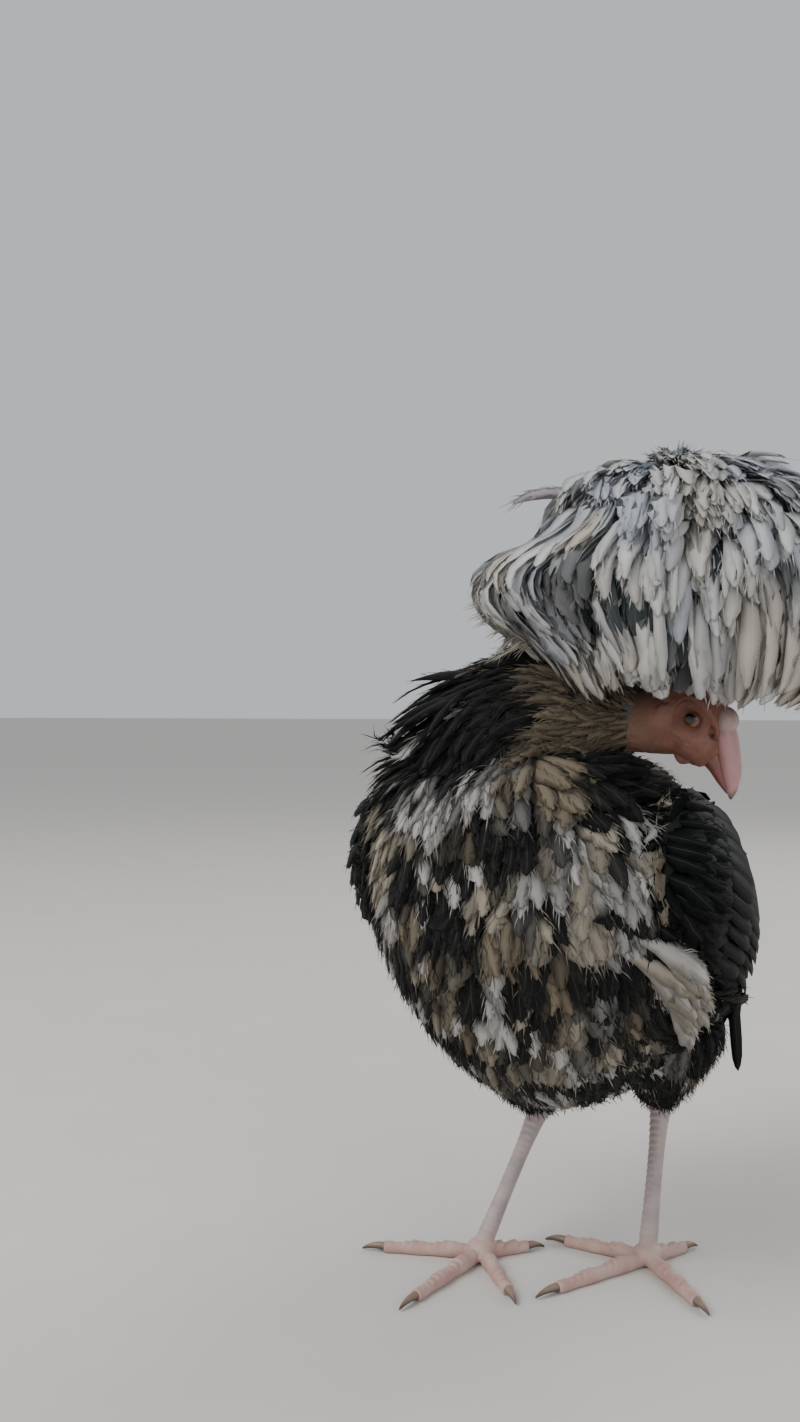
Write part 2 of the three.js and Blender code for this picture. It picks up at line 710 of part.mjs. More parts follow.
function wing(sign) {
  const ring = (station) => Array.from({ length: SIDES.wing }, (unused, i) => {
    const angle = (2 * Math.PI * i) / SIDES.wing;
    const z = station.z + station.halfHeight * Math.cos(angle);
    const lift = Math.sin(angle);
    const x = wingX(sign, station.y, z) + (lift > 0 ? station.lift * lift : SINK * lift);
    return new THREE.Vector3(sign * x, station.y, z);
  });
  const tip = ({ y, z }) => [new THREE.Vector3(sign * wingX(sign, y, z), y, z)];
  return skin([tip(WING_FRONT), ...WING.map(ring), tip(WING_TIP)]);
}

// How far the wing's own body stands out of that surface
const wingAt = table(WING, 'y', ['z', 'halfHeight', 'lift']);

function wingLift(y, z) {
  const row = wingAt(y);
  const height = (z - row.z) / row.halfHeight;
  return row.lift * Math.sqrt(Math.max(0, 1 - height * height));
}

function wingFeather(sign, root, tip, halfWidth) {
  const along = new THREE.Vector2(tip[0] - root[0], tip[1] - root[1]).normalize();
  const at = (t, across) => {
    const y = lerp(root[0], tip[0], t) - along.y * halfWidth * across;
    const z = lerp(root[1], tip[1], t) + along.x * halfWidth * across;
    const stand = lerp(WING_STAND.root, WING_STAND.tip, Math.sqrt(t)) - WING_STAND.tilt * across;
    return new THREE.Vector3(sign * (wingX(sign, y, z) + wingLift(y, z) + stand), y, z);
  };
  return vane(FLAT_VANE, at, () => new THREE.Vector3(sign, 0, 0), WING_THICKNESS);
}

function wingFeathers(sign) {
  const random = seeded(23 + sign);
  const blend = (pair, f) => [lerp(pair[0][0], pair[1][0], f), lerp(pair[0][1], pair[1][1], f)];
  const rows = WING_ROWS.flatMap(({ count, roots, tips, halfWidth }) => (
    Array.from({ length: count }, (unused, i) => {
      const f = i / (count - 1);
      const tip = blend(tips, f);
      tip[0] += WING_LOOSE * random();
      return wingFeather(sign, blend(roots, f), tip, halfWidth);
    })
  ));
  const quill = wingFeather(sign, LOOSE_QUILL.root, LOOSE_QUILL.tip, LOOSE_QUILL.halfWidth);
  return sign > 0 ? [...rows, quill] : rows;
}

// Tail

function tailStub() {
  return lengthwise(TAIL_STUB, SIDES.tail, ...TAIL_STUB_ENDS);
}

// Two leaning halves that meet above, the middle pair highest
function tailFeathers() {
  const point = ({ x, y, z, spread, drop }, sign, i) => (
    new THREE.Vector3(sign * (x + spread * i), y, z - drop * i)
  );
  return TAIL_ROWS.flatMap(({ perSide, start, tip, halfWidth }) => (
    [1, -1].flatMap((sign) => Array.from({ length: perSide }, (unused, i) => {
      const from = point(start, sign, i);
      const to = point(tip, sign, i).setY(tip.y - TAIL_FAN.shorter * i);
      const along = to.clone().sub(from).normalize();
      const across = sign * (TAIL_FACE.side + TAIL_FACE.turn * i);
      const face = new THREE.Vector3(across, TAIL_FACE.back, TAIL_FACE.up - TAIL_FACE.fall * i);
      const side = face.clone().cross(along).normalize();
      const out = along.clone().cross(side).normalize();
      const at = (t, edge) => from.clone().lerp(to, t)
        .addScaledVector(side, halfWidth * edge)
        .addScaledVector(out, TAIL_FAN.arch * t * (1 - t) - TAIL_FAN.tilt * edge - TAIL_FAN.step * i * t);
      return vane(FLAT_VANE, at, () => out, TAIL_THICKNESS);
    }))
  ));
}

// Legs

function thigh(leg) {
  const [hip, hock] = [leg.hip, leg.hock];
  const stations = THIGH_RADII.map((radius, i) => {
    const t = i / (THIGH_RADII.length - 1);
    return { at: hip.map((value, axis) => lerp(value, hock[axis], t)), radius };
  });
  return limb(stations, SIDES.thigh, RINGS.thigh);
}

function shankStations(leg) {
  const foot = [leg.hub[0], leg.hub[1], HUB.height];
  return SHANK_RADII.map((radius, i) => {
    const t = i / (SHANK_RADII.length - 1);
    return { at: leg.hock.map((value, axis) => lerp(value, foot[axis], t)), radius };
  });
}

// The shank with the ball of the foot, flat below
function shank(leg) {
  return [limb(shankStations(leg), SIDES.shank, RINGS.shank), hub(leg)];
}

// Overlapping plates down the front of the shank
function shankScutes(leg) {
  const { count, length, from, to, reach, height } = SHANK_SCUTES;
  const line = limbLine(shankStations(leg));
  const forwards = direction(leg.toes.middle[0]);
  return Array.from({ length: count }, (unused, i) => {
    const { centre, along, radius } = line(lerp(from, to, i / (count - 1)));
    const front = forwards.clone().addScaledVector(along, -forwards.dot(along)).normalize();
    return scute(centre, along, front, radius, length, reach, height);
  });
}

function direction(degrees) {
  return new THREE.Vector3(Math.cos(radians(degrees)), Math.sin(radians(degrees)), 0);
}

function hub(leg) {
  const { radius, height } = HUB;
  const centre = [leg.hub[0], leg.hub[1], height - HUB.sink];
  return flattened(ellipsoid(centre, [radius, radius, height + HUB.sink], SIDES.hub));
}

// Everything below the floor pressed up to it
function flattened(geometry) {
  const { position } = geometry.attributes;
  for (let i = 0; i < position.count; i += 1) {
    position.setZ(i, Math.max(0, position.getZ(i)));
  }
  return geometry;
}

function toeRadius(t) {
  const pad = 1 + TOE.swell * Math.cos(2 * Math.PI * TOE.joints * t);
  return lerp(TOE.rootRadius, TOE.tipRadius, t) * pad;
}

function toe(leg, [heading, length]) {
  const aim = direction(heading);
  const side = new THREE.Vector3(-aim.y, aim.x, 0);
  const root = new THREE.Vector3(leg.hub[0], leg.hub[1], 0);
  const rings = Array.from({ length: RINGS.toe }, (unused, k) => {
    const t = k / (RINGS.toe - 1);
    const radius = toeRadius(t);
    return Array.from({ length: SIDES.toe }, (unusedToo, i) => {
      const angle = (2 * Math.PI * (i + 0.5)) / SIDES.toe;
      const z = Math.max(0, radius * (TOE.rise + Math.sin(angle)));
      return root.clone()
        .addScaledVector(aim, t * length)
        .addScaledVector(side, radius * Math.cos(angle))
        .setZ(z);
    });
  });
  return skin(rings);
}

// Plates along the top of a toe, from the ball of the foot to the claw
function toeScutes(leg, [heading, length]) {
  const aim = direction(heading);
  const { spacing, cover, reach, height } = TOE_SCUTES;
  const count = Math.floor((length - HUB.radius) / spacing);
  return Array.from({ length: count }, (unused, i) => {
    const along = HUB.radius + spacing * (i + 0.5);
    const radius = toeRadius(along / length);
    const centre = new THREE.Vector3(leg.hub[0], leg.hub[1], TOE.rise * radius).addScaledVector(aim, along);
    return scute(centre, aim, UP, radius, cover * spacing, reach, height);
  });
}

function claw(leg, [heading, length, clawLength]) {
  const aim = direction(heading);
  const root = new THREE.Vector3(leg.hub[0], leg.hub[1], 0).addScaledVector(aim, length + 2 * GAP);
  const step = clawLength / (CLAW.radii.length - 1);
  const stations = CLAW.radii.map((radius, i) => ({
    at: root.clone().addScaledVector(aim, step * i).setZ(CLAW.heights[i]).toArray(),
    radius,
  }));
  return limb(stations, SIDES.claw, CLAW.radii.length);
}

function legNodes(leg) {
  const bone = clearOf(joined([...shank(leg), ...shankScutes(leg)]), [thigh(leg)]);
  const nodes = [
    mesh(`thigh_${leg.side}`, clearOf(joined([thigh(leg)]), [trunk()]), '#4c4744', 0.9),
    mesh(`shank_${leg.side}`, bone, '#b9a9a8', 0.6),
  ];
  const toes = Object.entries(leg.toes);
  toes.forEach(([name, toeSizes], i) => {
    const earlier = toes.slice(0, i).map(([, sizes]) => toe(leg, sizes));
    const flesh = joined([toe(leg, toeSizes), ...toeScutes(leg, toeSizes)]);
    const body = clearOf(flesh, [...shank(leg), ...earlier]);
    nodes.push(mesh(`toe_${name}_${leg.side}`, body, '#c9968c', 0.65));
    nodes.push(mesh(`claw_${name}_${leg.side}`, joined([claw(leg, toeSizes)]), '#5b4638', 0.5));
  });
  return nodes;
}

// The whole hen

const chicken = new THREE.Group();
const hackleStand = Math.max(...HACKLE.map((row) => row.stand)) + HACKLE_THICKNESS + HACKLE_TILT;
const neckEnvelope = grown(neck(), hackleStand);
const wingStand = WING_STAND.tip + WING_STAND.tilt + WING_THICKNESS;
const wingEnvelopes = [1, -1].map((sign) => grown(wing(sign), wingStand));
const headParts = [
  skull(),
  ...lids(),
  ...lobes(EARLOBE),
  ...combParts(),
  ...lobes(NOSTRIL_DOME),
  eyeball(1),
  eyeball(-1),
].map(onHead);
const feathered = joined([neck(), ...hackle()]);
chicken.add(
  headNodes(),
  mesh('torso', joined([trunk()]), '#6d665f', 0.9),
  mesh('neck', clearOf(feathered, [trunk(), ...headParts, ...wingEnvelopes]), '#a08463', 0.9),
  mesh('crest', clearOf(crest(), [neckEnvelope, trunk(), ...headParts]), '#cfc8bd', 0.9),
  mesh('tail', clearOf(joined([tailStub(), ...tailFeathers()]), [trunk()]), '#2b2b2c', 0.8),
);
[['left', 1], ['right', -1]].forEach(([side, sign]) => {
  const folded = joined([wing(sign), ...wingFeathers(sign)]);
  chicken.add(mesh(`wing_${side}`, clearOf(folded, [trunk(), neckEnvelope]), '#232628', 0.8));
});
LEGS.forEach((leg) => chicken.add(...legNodes(leg)));

// The origin: the middle of the whole hen's box, on the floor
const middle = new THREE.Box3().setFromObject(chicken).getCenter(new THREE.Vector3());
chicken.position.set(-middle.x, -middle.y, 0);

export default chicken;
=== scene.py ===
"""A crested hen, head lowered and turned to its left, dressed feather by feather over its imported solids.

Shapes are worked out in millimetres in the frame that the solids were drawn in, then moved by
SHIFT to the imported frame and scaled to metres.
"""

import math

import bpy
import numpy as np
from mathutils import Matrix, Vector, noise
from mathutils.bvhtree import BVHTree


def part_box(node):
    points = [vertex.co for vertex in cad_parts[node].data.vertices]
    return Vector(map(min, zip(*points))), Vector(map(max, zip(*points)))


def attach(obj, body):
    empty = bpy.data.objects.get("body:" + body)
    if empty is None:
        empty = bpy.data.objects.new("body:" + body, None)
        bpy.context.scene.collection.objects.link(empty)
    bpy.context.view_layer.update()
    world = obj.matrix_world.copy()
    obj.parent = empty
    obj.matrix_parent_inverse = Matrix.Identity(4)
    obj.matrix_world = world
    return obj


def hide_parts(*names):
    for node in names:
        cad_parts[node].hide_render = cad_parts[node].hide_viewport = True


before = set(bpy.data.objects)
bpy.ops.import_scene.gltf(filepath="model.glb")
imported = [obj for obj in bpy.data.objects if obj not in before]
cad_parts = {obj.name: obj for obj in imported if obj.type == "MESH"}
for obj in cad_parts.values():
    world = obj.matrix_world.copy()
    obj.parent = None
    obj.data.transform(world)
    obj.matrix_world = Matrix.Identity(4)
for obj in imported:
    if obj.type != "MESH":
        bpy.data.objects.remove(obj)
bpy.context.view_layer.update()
BODY_VOXEL, FACE_VOXEL, FEET_VOXEL, HORN_COARSE = ((2.6, .62, .6, 1))
BODY_BARBS, CREST_BARBS, OUTER_PLUMES, UNDER_PLUMES = ((7, 14, 2900, 1500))

# ---------------------------------------------------------------- sizes

HEAD_AT = np.array([81.3, -32.5, 278.9])
HEAD_TURN = 94
HEAD_PITCH = 52
EYE = dict(x=11.4, y=1.5, z=2, radius=6)

TRUNK = dict(
    y=[-102, -96, -78, -48, -12, 28, 66, 98, 120],
    half=[24, 44, 69, 86, 88, 87, 75, 52, 30],
    top=[226, 244, 268, 280, 276, 259, 232, 206, 190],
    bottom=[178, 156, 123, 97, 83, 81, 91, 112, 136],
    egg=[.05, .1, .18, .25, .24, .14, .05, .02, 0],
)
BREAST_TIP = (-104, 203)
RUMP_TIP = (130, 164)
TRUNK_LEAN = -8
COAT_DEPTH = 6.5

NECK_LINE = np.array([[-12, -40, 236], [-10, -42, 262], [6, -42, 281], [34, -38, 282], [62, -34, 280.0]])
NECK_RADIUS = [55, 47, 37, 26, 17]
THROAT_LINE = np.array([[48, -36, 280], [60, -34.6, 280], [71, -33.6, 280], [80, -32.6, 280.0]])
THROAT_RADIUS = [14.4, 15, 15.3, 14.5]
HACKLE_DEPTH = 5
HACKLE_RUFFLE = np.array([-38, -58, 298])

WING = dict(y=[-66, -42, 0, 44, 84, 112], z=[214, 212, 196, 176, 156, 143],
            half=[20, 38, 46, 42, 30, 17], lift=[3, 4, 4, 4, 4, 3])
WING_ENDS = [(-74, 213), (132, 134)]
WING_FREE = ([-80, 40, 134], [40, 76, 50])

TAIL_STUB = dict(y=[94, 114, 132, 148], half=[37, 32, 24, 15], height=[27, 23, 16, 9], z=[172, 172, 175, 180])
TAIL_ENDS = [(86, 172), (158, 184)]

CREST_CENTRE = np.array([70, -30, 346.0])
CREST_SIZE = np.array([94, 88, 61.0])
CREST_CORE = (np.array([76, -30, 333.0]), np.array([44, 41, 31.0]))
CREST_BELL = 0.2
CREST_LOCKS = 260
CREST_LOBE_DROP = 9
# Tips of the loose locks at the crest's left edge, and how much higher each one's root is
CREST_TIPS = [(-17, -77, 333, 14), (-11, -74, 327, 14), (-5, -71, 321, 16), (-6, -72, 310, 22),
              (3, -68, 317, 16)]
LONE_FEATHER = np.array([[52.7, -40, 375], [38, -47, 385], [27, -53.5, 388.5], [12, -62.3, 388],
                         [2.7, -67.5, 382.5]])
CREST_ASIDE = np.array([-.876, -.482, 0])
# Height on the crest from -1 to 1, and how far its left side reaches out there
CREST_SWEEP = ([-1, -.84, -.64, -.49, -.2, 0, .18, .3, .44, .6, .75, 1],
               [.95, .84, .82, .88, 1.05, 1.06, .94, .82, .79, .85, .93, 1])

# Along and up: where the long feathers of the flank are rooted, and how far each one reaches
FLANK_ROOTS = [(-82, 178), (-77, 184), (-74, 172), (-69, 178), (-66, 166), (-61, 172), (-58, 160), (-53, 168),
               (-50, 155), (-45, 163), (-42, 150), (-38, 158), (-34, 146), (-72, 181), (-56, 165), (-64, 174)]
FLANK_REACH = np.array([48, -29])

# Each toe: which way it points, its length and its claw's length
LEGS = {
    "right": dict(hip=[-44, 4, 132], hock=[-20, 24, 73], hub=[-37, -17],
                  toes=[(48, 26, 10), (312, 45, 12), (264, 61, 14), (200, 51, 12)]),
    "left": dict(hip=[48, 22, 132], hock=[38.5, 50, 79], hub=[41, 18],
                 toes=[(62, 26, 10), (179, 45, 12), (243, 61, 14), (315, 51, 12)]),
}
TOE_NAMES = ["hallux", "inner", "middle", "outer"]
THIGH_RADII = [36, 30, 20, 11]
SHANK_RADII = [6.2, 4.3, 3.9, 4.2, 5]
CLAW_RADII = [2.3, 1.9, 1.3, 0.5]
CLAW_HEIGHTS = [2.7, 3.2, 2.6, 1.1]
ANKLE_HEIGHT = 5.5
SCUTE_STEP = 4.1

# Colours of skin and feather
WHITE = (.40, .39, .375)
CREAM = (.30, .265, .21)
BUFF = (.17, .14, .098)
RUSSET = (.21, .12, .075)
GREY = (.15, .145, .14)
DARK = (.085, .09, .09)
BLACK = (.012, .0125, .012)
WING_BLACK = (.007, .0085, .008)
LILAC = (.36, .33, .37)
# blue-grey painted shade on the crest
SLATE_PAINTED_SHADE = (.20, .215, .23)
INK = (.045, .055, .06)
CREST_WHITE = (.56, .56, .55)
CREST_WARM = (.50, .455, .39)
# painted light: paler than the crest's own white, to offset the shade deep in the crest
CREST_PAINTED_LIGHT = (.74, .74, .73)
FACE = (.17, .072, .048)
# painted highlight along the ridge of the cheek
CHEEK_PAINTED_HIGHLIGHT = (.27, .145, .105)
SHANK = (.52, .44, .44)
TOE = (.56, .36, .32)
SHANK_GREY = (.42, .37, .40)
TOE_PALE = (.62, .46, .42)
FACE_RED = (.25, .115, .078)
THROAT_TAN = (.20, .12, .078)
EARLOBE = (.36, .20, .15)
EYE_RIM = (.11, .04, .028)
# painted shade in the nostril slits, on the face and on the bill
NOSTRIL_PAINTED_SHADE_RED = (.08, .035, .03)
NOSTRIL_PAINTED_SHADE_BLACK = (.05, .025, .02)
# blue-grey painted shade, laid in patches over the crest
CREST_PAINTED_SHADE = (.42, .45, .50)
CORE_GREY = (.42, .42, .41)
BILL_PINK = (.47, .26, .265)
KNOB_PINK = (.43, .32, .30)
BILL_TIP = (.10, .07, .06)
# the lower bill's horn painted as in shade, darker and browner than the upper
LOWER_BILL_PAINTED_SHADE = (.20, .075, .06)
LOWER_TIP = (.10, .06, .05)
COMB_RED = (.30, .06, .05)
CLAW_DARK = (.09, .06, .045)
CLAW_PALE = (.26, .19, .14)
# Colours of the eye from its middle outward, and the angles between which each takes over
EYE_RINGS = [((.20, .065, .025), .4, .45), ((.09, .025, .014), .55, .8), ((.03, .012, .01), .82, .9)]
PUPIL = (.003, .003, .003)

# Markings that the photo shows, by colour: x, y and z of the centre, half-size across and upright. Some of
# the crest's marks are painted shade.
BODY_MARKS = {
    WHITE: [(-28, -96, 237, 19, 13), (-4, -97, 246, 15, 9), (-15, -103, 200, 8, 4), (0, -103, 209, 5, 4),
            (40, -92, 227, 7, 9), (46, -93, 215, 11, 11), (29, -101, 199, 14, 6), (40, -96, 197, 15, 6),
            (62, -79, 179, 8, 8), (68, -78, 207, 6, 12), (67, -75, 227, 6, 6), (77, -33, 149, 15, 9),
            (77, -3, 132, 8, 8), (14, -83, 133, 15, 5), (28, -68, 121, 13, 6), (30, -52, 109, 10, 5),
            (3, -89, 141, 8, 4)],
    CREAM: [(-54, -90, 206, 9, 15), (5, -103, 193, 8, 10), (50, -90, 185, 11, 11), (57, -86, 221, 5, 8),
            (75, -55, 165, 13, 8), (46, -55, 124, 10, 7)],
    BUFF: [(16, -100, 175, 15, 8), (31, -95, 172, 11, 6), (36, -88, 155, 9, 5), (59, -54, 137, 8, 7),
           (64, 26, 96, 7, 9), (-35, -97, 184, 7, 9), (-24, -94, 163, 9, 5), (-5, -96, 160, 8, 4),
           (30, -84, 262, 19, 34)],
    GREY: [(49, -74, 147, 13, 7), (59, 4, 105, 8, 6), (6, -91, 257, 11, 4)],
    BLACK: [(16, -101, 223, 19, 15), (-15, -103, 213, 17, 6), (-11, -102, 188, 12, 13),
            (34, -97, 185, 8, 5), (46, -87, 165, 11, 8), (61, -71, 158, 7, 8), (-2, -93, 152, 14, 6),
            (19, -88, 143, 15, 7), (-4, -74, 120, 12, 6), (7, -53, 102, 13, 10), (66, -20, 124, 10, 8),
            (59, 14, 97, 7, 7), (49, -13, 104, 8, 7), (46, -68, 135, 5, 4), (62, -83, 217, 5, 10),
            (48, -85, 237, 8, 6), (-12, -83, 283, 33, 30), (62, -56, 247, 22, 16), (57, -60, 254, 14, 9),
            (-24, 20, 78, 26, 16), (58, -72, 241, 14, 14)],
}
HACKLE_MARKS = {
    WHITE: [(-28, -96, 237, 19, 13), (-4, -97, 246, 15, 9)],
    BLACK: [(-12, -83, 283, 33, 30), (10, -95, 240, 9, 9)],
    GREY: [(6, -91, 257, 11, 5)],
    BUFF: [(40, -80, 262, 15, 30)],
}
WING_MARKS = {
    DARK: [(91, -49, 219, 3, 5), (86, -56, 190, 4, 5)],
}
# Painted shade among the crest's marks: both slate marks; the dark mark at (93, -88, 301), the shadow under
# the crest above the face; the dark mark at (48, -110, 335) and the ink mark at (67, -102, 321), shade low on
# the left; the ink mark at (112, -101, 342), shade down the parting. The remaining ink and dark marks are
# dark spots.
CREST_MARKS = {
    INK: [(67, -102, 321, 24, 15), (112, -101, 342, 8, 18), (125, -90, 355, 7, 9), (134, -71, 378, 8, 10)],
    DARK: [(48, -110, 335, 21, 12), (93, -88, 301, 20, 11), (14, -87, 323, 15, 11)],
    SLATE_PAINTED_SHADE: [(38, -110, 316, 14, 12), (133, -84, 340, 11, 18)],
    CREST_WARM: [(100, -107, 354, 9, 13), (40, -75, 296, 30, 5), (48, -111, 362, 9, 13),
                 (122, -80, 298, 20, 8), (113, -77, 366, 7, 9), (12, -80, 342, 12, 10)],
}

# ---------------------------------------------------------------- numbers and curves


def spline(xs, ys):
    """A smooth curve through points, with no curvature at its ends."""
    xs = np.asarray(xs, float)
    ys = np.asarray(ys, float)
    slope = np.diff(ys, axis=0) / np.diff(xs).reshape((-1,) + (1,) * (ys.ndim - 1))
    gap = np.diff(xs).reshape((-1,) + (1,) * (ys.ndim - 1))
    tangent = np.empty_like(ys)
    tangent[1:-1] = (slope[:-1] * gap[1:] + slope[1:] * gap[:-1]) / (gap[1:] + gap[:-1])
    tangent[0] = 1.5 * slope[0] - .5 * tangent[1]
    tangent[-1] = 1.5 * slope[-1] - .5 * tangent[-2]

    def at(x):
        x = np.clip(np.asarray(x, float), xs[0], xs[-1])
        i = np.clip(np.searchsorted(xs, x, side="right") - 1, 0, len(xs) - 2)
        h = (xs[i + 1] - xs[i])
        t = (x - xs[i]) / h
        shape = t.shape + (1,) * (ys.ndim - 1)
        t = t.reshape(shape)
        h = h.reshape(shape)
        return ((1 + 2 * t) * (1 - t) ** 2 * ys[i] + t * (1 - t) ** 2 * h * tangent[i]
                + t * t * (3 - 2 * t) * ys[i + 1] + t * t * (t - 1) * h * tangent[i + 1])
    return at


def unit(v):
    return v / np.maximum(np.linalg.norm(v, axis=-1, keepdims=True), 1e-9)


def smoothstep(a, b, x):
    t = np.clip((x - a) / (b - a), 0, 1)
    return t * t * (3 - 2 * t)


def steady(value):
    """The same value at every point."""
    return lambda points: np.tile(value, (len(points), 1))


def mix(a, b, t):
    return np.asarray(a) + (np.asarray(b) - np.asarray(a)) * t


def waves(points, scale, seed=0):
    """Smooth noise from about -1 to 1 at each point, with features about scale long."""
    return np.array([noise.noise(Vector(p / scale + seed * 17.3)) for p in np.asarray(points, float)])


def circle(count):
    """Angles evenly round a full turn."""
    return np.arange(count) * 2 * math.pi / count


def ring(centre, across, up, sides):
    """Circles: centre (R, 3), across and up (R, 3) with their lengths as radii."""
    angle = circle(sides)
    return (centre[:, None] + across[:, None] * np.cos(angle)[None, :, None]
            + up[:, None] * np.sin(angle)[None, :, None])


def grid_faces(rows, sides, closed=False):
    """Quads between rings of points that follow one another."""
    steps = [(k, (k + 1) % rows) for k in range(rows if closed else rows - 1)]
    around = [(i, (i + 1) % sides) for i in range(sides)]
    return [(k * sides + i, k * sides + j, n * sides + j, n * sides + i) for k, n in steps for i, j in around]


def loft(rings):
    """Vertices and faces of a closed surface through rings (R, S, 3)."""
    count, sides, _ = rings.shape
    first = tuple(range(sides))[::-1]
    last = tuple((count - 1) * sides + i for i in range(sides))
    return rings.reshape(-1, 3), [*grid_faces(count, sides), first, last]


def limb_rings(points, radii, sides, count):
    """Rings along a line of points, each with its radius."""
    places = np.linspace(0, 1, len(points))
    t = np.linspace(0, 1, count)
    centre = spline(places, points)(t)
    along = unit(np.gradient(centre, axis=0))
    across = unit(np.cross([0, 1, 0], along))
    radius = spline(places, radii)(t)[:, None]
    return ring(centre, across * radius, np.cross(along, across) * radius, sides)


def ball(centre, size, sides=24):
    """An ellipsoid of the given half-sizes as a loft along its height."""
    angle = np.linspace(0, math.pi, sides // 2 + 1)
    angle[0], angle[-1] = .02, math.pi - .02
    size = np.asarray(size, float)
    centres = np.asarray(centre, float) + np.cos(angle)[:, None] * np.array([0, 0, size[2]])
    wide = np.sin(angle)[:, None]
    return loft(ring(centres, wide * [size[0], 0, 0], wide * [0, size[1], 0], sides))


def sections(table, ends, sides, count):
    """Elliptic sections across the Y axis with a tip at one or both ends."""
    y = np.linspace(table["y"][0], table["y"][-1], count)
    rows = list(zip(y, *(spline(table["y"], table[key])(y) for key in ("half", "height", "z"))))
    if ends[0]:
        rows.insert(0, (ends[0][0], .05, .05, ends[0][1]))
    if ends[1]:
        rows.append((ends[1][0], .05, .05, ends[1][1]))
    y, half, height, z = np.array(rows).T
    zero = np.zeros(len(rows))
    centre = np.stack([zero, y, z], 1)
    return ring(centre, np.stack([half, zero, zero], 1), np.stack([zero, zero, height], 1), sides)


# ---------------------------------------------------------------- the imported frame

HEAD_TURNED = np.array(Matrix.Rotation(math.radians(HEAD_TURN), 3, "Z")
                       @ Matrix.Rotation(math.radians(HEAD_PITCH), 3, "X"))


def head_to_body(points):
    return np.asarray(points, float) @ HEAD_TURNED.T + HEAD_AT


def body_to_head(points):
    return (np.asarray(points, float) - HEAD_AT) @ HEAD_TURNED


low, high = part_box("eye_left")
SHIFT = (np.array(low) + np.array(high)) * 500 - head_to_body([[EYE["x"], EYE["y"], EYE["z"]]])[0]


def metres(points):
    return (np.asarray(points, float) + SHIFT) * .001


# ---------------------------------------------------------------- making meshes

def make_mesh(name, points, faces):
    mesh = bpy.data.meshes.new(name)
    mesh.from_pydata([tuple(p) for p in metres(points)], [], faces)
    mesh.update()
    return mesh


def show(name, mesh):
    piece = bpy.data.objects.new(name, mesh)
    bpy.context.scene.collection.objects.link(piece)
    return piece


def merged(parts):
    """Several (vertices, faces) as one."""
    points, faces, start = [], [], 0
    for verts, polygons in parts:
        points.append(verts)
        faces += [tuple(i + start for i in face) for face in polygons]
        start += len(verts)
    return np.concatenate(points), faces


def fused(name, parts, voxel, smooth):
    """The parts as one closed surface, as (vertices, faces) in drawing millimetres."""
    piece = show(name, make_mesh(name, *merged(parts)))
    remesh = piece.modifiers.new("fuse", "REMESH")
    remesh.mode = "VOXEL"
    remesh.voxel_size = voxel * .001
    if smooth:
        soften = piece.modifiers.new("soften", "SMOOTH")
        soften.factor = .5
        soften.iterations = smooth
    result = bpy.data.meshes.new_from_object(piece.evaluated_get(bpy.context.evaluated_depsgraph_get()))
    points = np.empty(len(result.vertices) * 3)
    result.vertices.foreach_get("co", points)
    faces = [tuple(polygon.vertices) for polygon in result.polygons]
    bpy.data.objects.remove(piece)
    return points.reshape(-1, 3) * 1000 - SHIFT, faces


def dressed(name, mesh, tint, *materials):
    """Shows a mesh with its colours and materials, smooth all over."""
    layer = mesh.color_attributes.new("tint", "FLOAT_COLOR", "POINT")
    rgba = np.ones((len(mesh.vertices), 4), np.float32)
    rgba[:, :3] = tint
    layer.data.foreach_set("color", rgba.ravel())
    mesh.polygons.foreach_set("use_smooth", np.ones(len(mesh.polygons), bool))
    for material in materials:
        mesh.materials.append(MATERIALS[material])
    return show(name, mesh)


def normals_of(points, faces):
    """Vertex normals of a mesh of quads or triangles."""
    mesh = bpy.data.meshes.new("measure")
    mesh.from_pydata([tuple(p) for p in points], [], faces)
    out = np.empty(len(points) * 3)
    mesh.vertex_normals.foreach_get("vector", out)
    bpy.data.meshes.remove(mesh)
    return out.reshape(-1, 3)


# ---------------------------------------------------------------- forms of the body

trunk_half, trunk_top, trunk_bottom, trunk_egg = (
    spline(TRUNK["y"], TRUNK[key]) for key in ("half", "top", "bottom", "egg"))


def lean(rise):
    """How far the trunk is pushed over, more the higher up it."""
    return TRUNK_LEAN * np.maximum(0, rise) ** 2


def trunk_side(sign, y, z):
    """How far out the trunk's side stands at a place along and up it."""
    top, bottom = trunk_top(y), trunk_bottom(y)
    rise = np.clip((2 * z - top - bottom) / (top - bottom), -1, 1)
    return trunk_half(y) * np.sqrt(1 - rise * rise) * (1 + trunk_egg(y) * rise) + sign * lean(rise)


def trunk_form(inset):
    turn = np.linspace(0, math.pi, 40)
    y = mix(TRUNK["y"][0] + inset * .4, TRUNK["y"][-1], (1 - np.cos(turn)) / 2)
    angle = circle(48)
    rise = np.cos(angle)[None]
    middle = ((trunk_top(y) + trunk_bottom(y)) / 2)[:, None]
    half = ((trunk_top(y) - trunk_bottom(y)) / 2 - inset)[:, None]
    wide = (trunk_half(y) - inset)[:, None] * np.sin(angle)[None]
    x = wide * (1 + trunk_egg(y)[:, None] * rise) + lean(rise)
    rings = np.stack([x, np.broadcast_to(y[:, None], x.shape), middle + half * rise], -1)
    front = np.broadcast_to([0, BREAST_TIP[0] + inset, BREAST_TIP[1]], (1, 48, 3))
    back = np.broadcast_to([0, RUMP_TIP[0] - inset, RUMP_TIP[1]], (1, 48, 3))
    return loft(np.concatenate([front, rings, back]))


def wing_x(sign, y, z):
    """The wing lies on the trunk in front and goes straight on behind."""
    side = trunk_side(sign, y, z)
    free = spline(*WING_FREE)(y)
    return (side + free + np.hypot(side - free, 6)) / 2


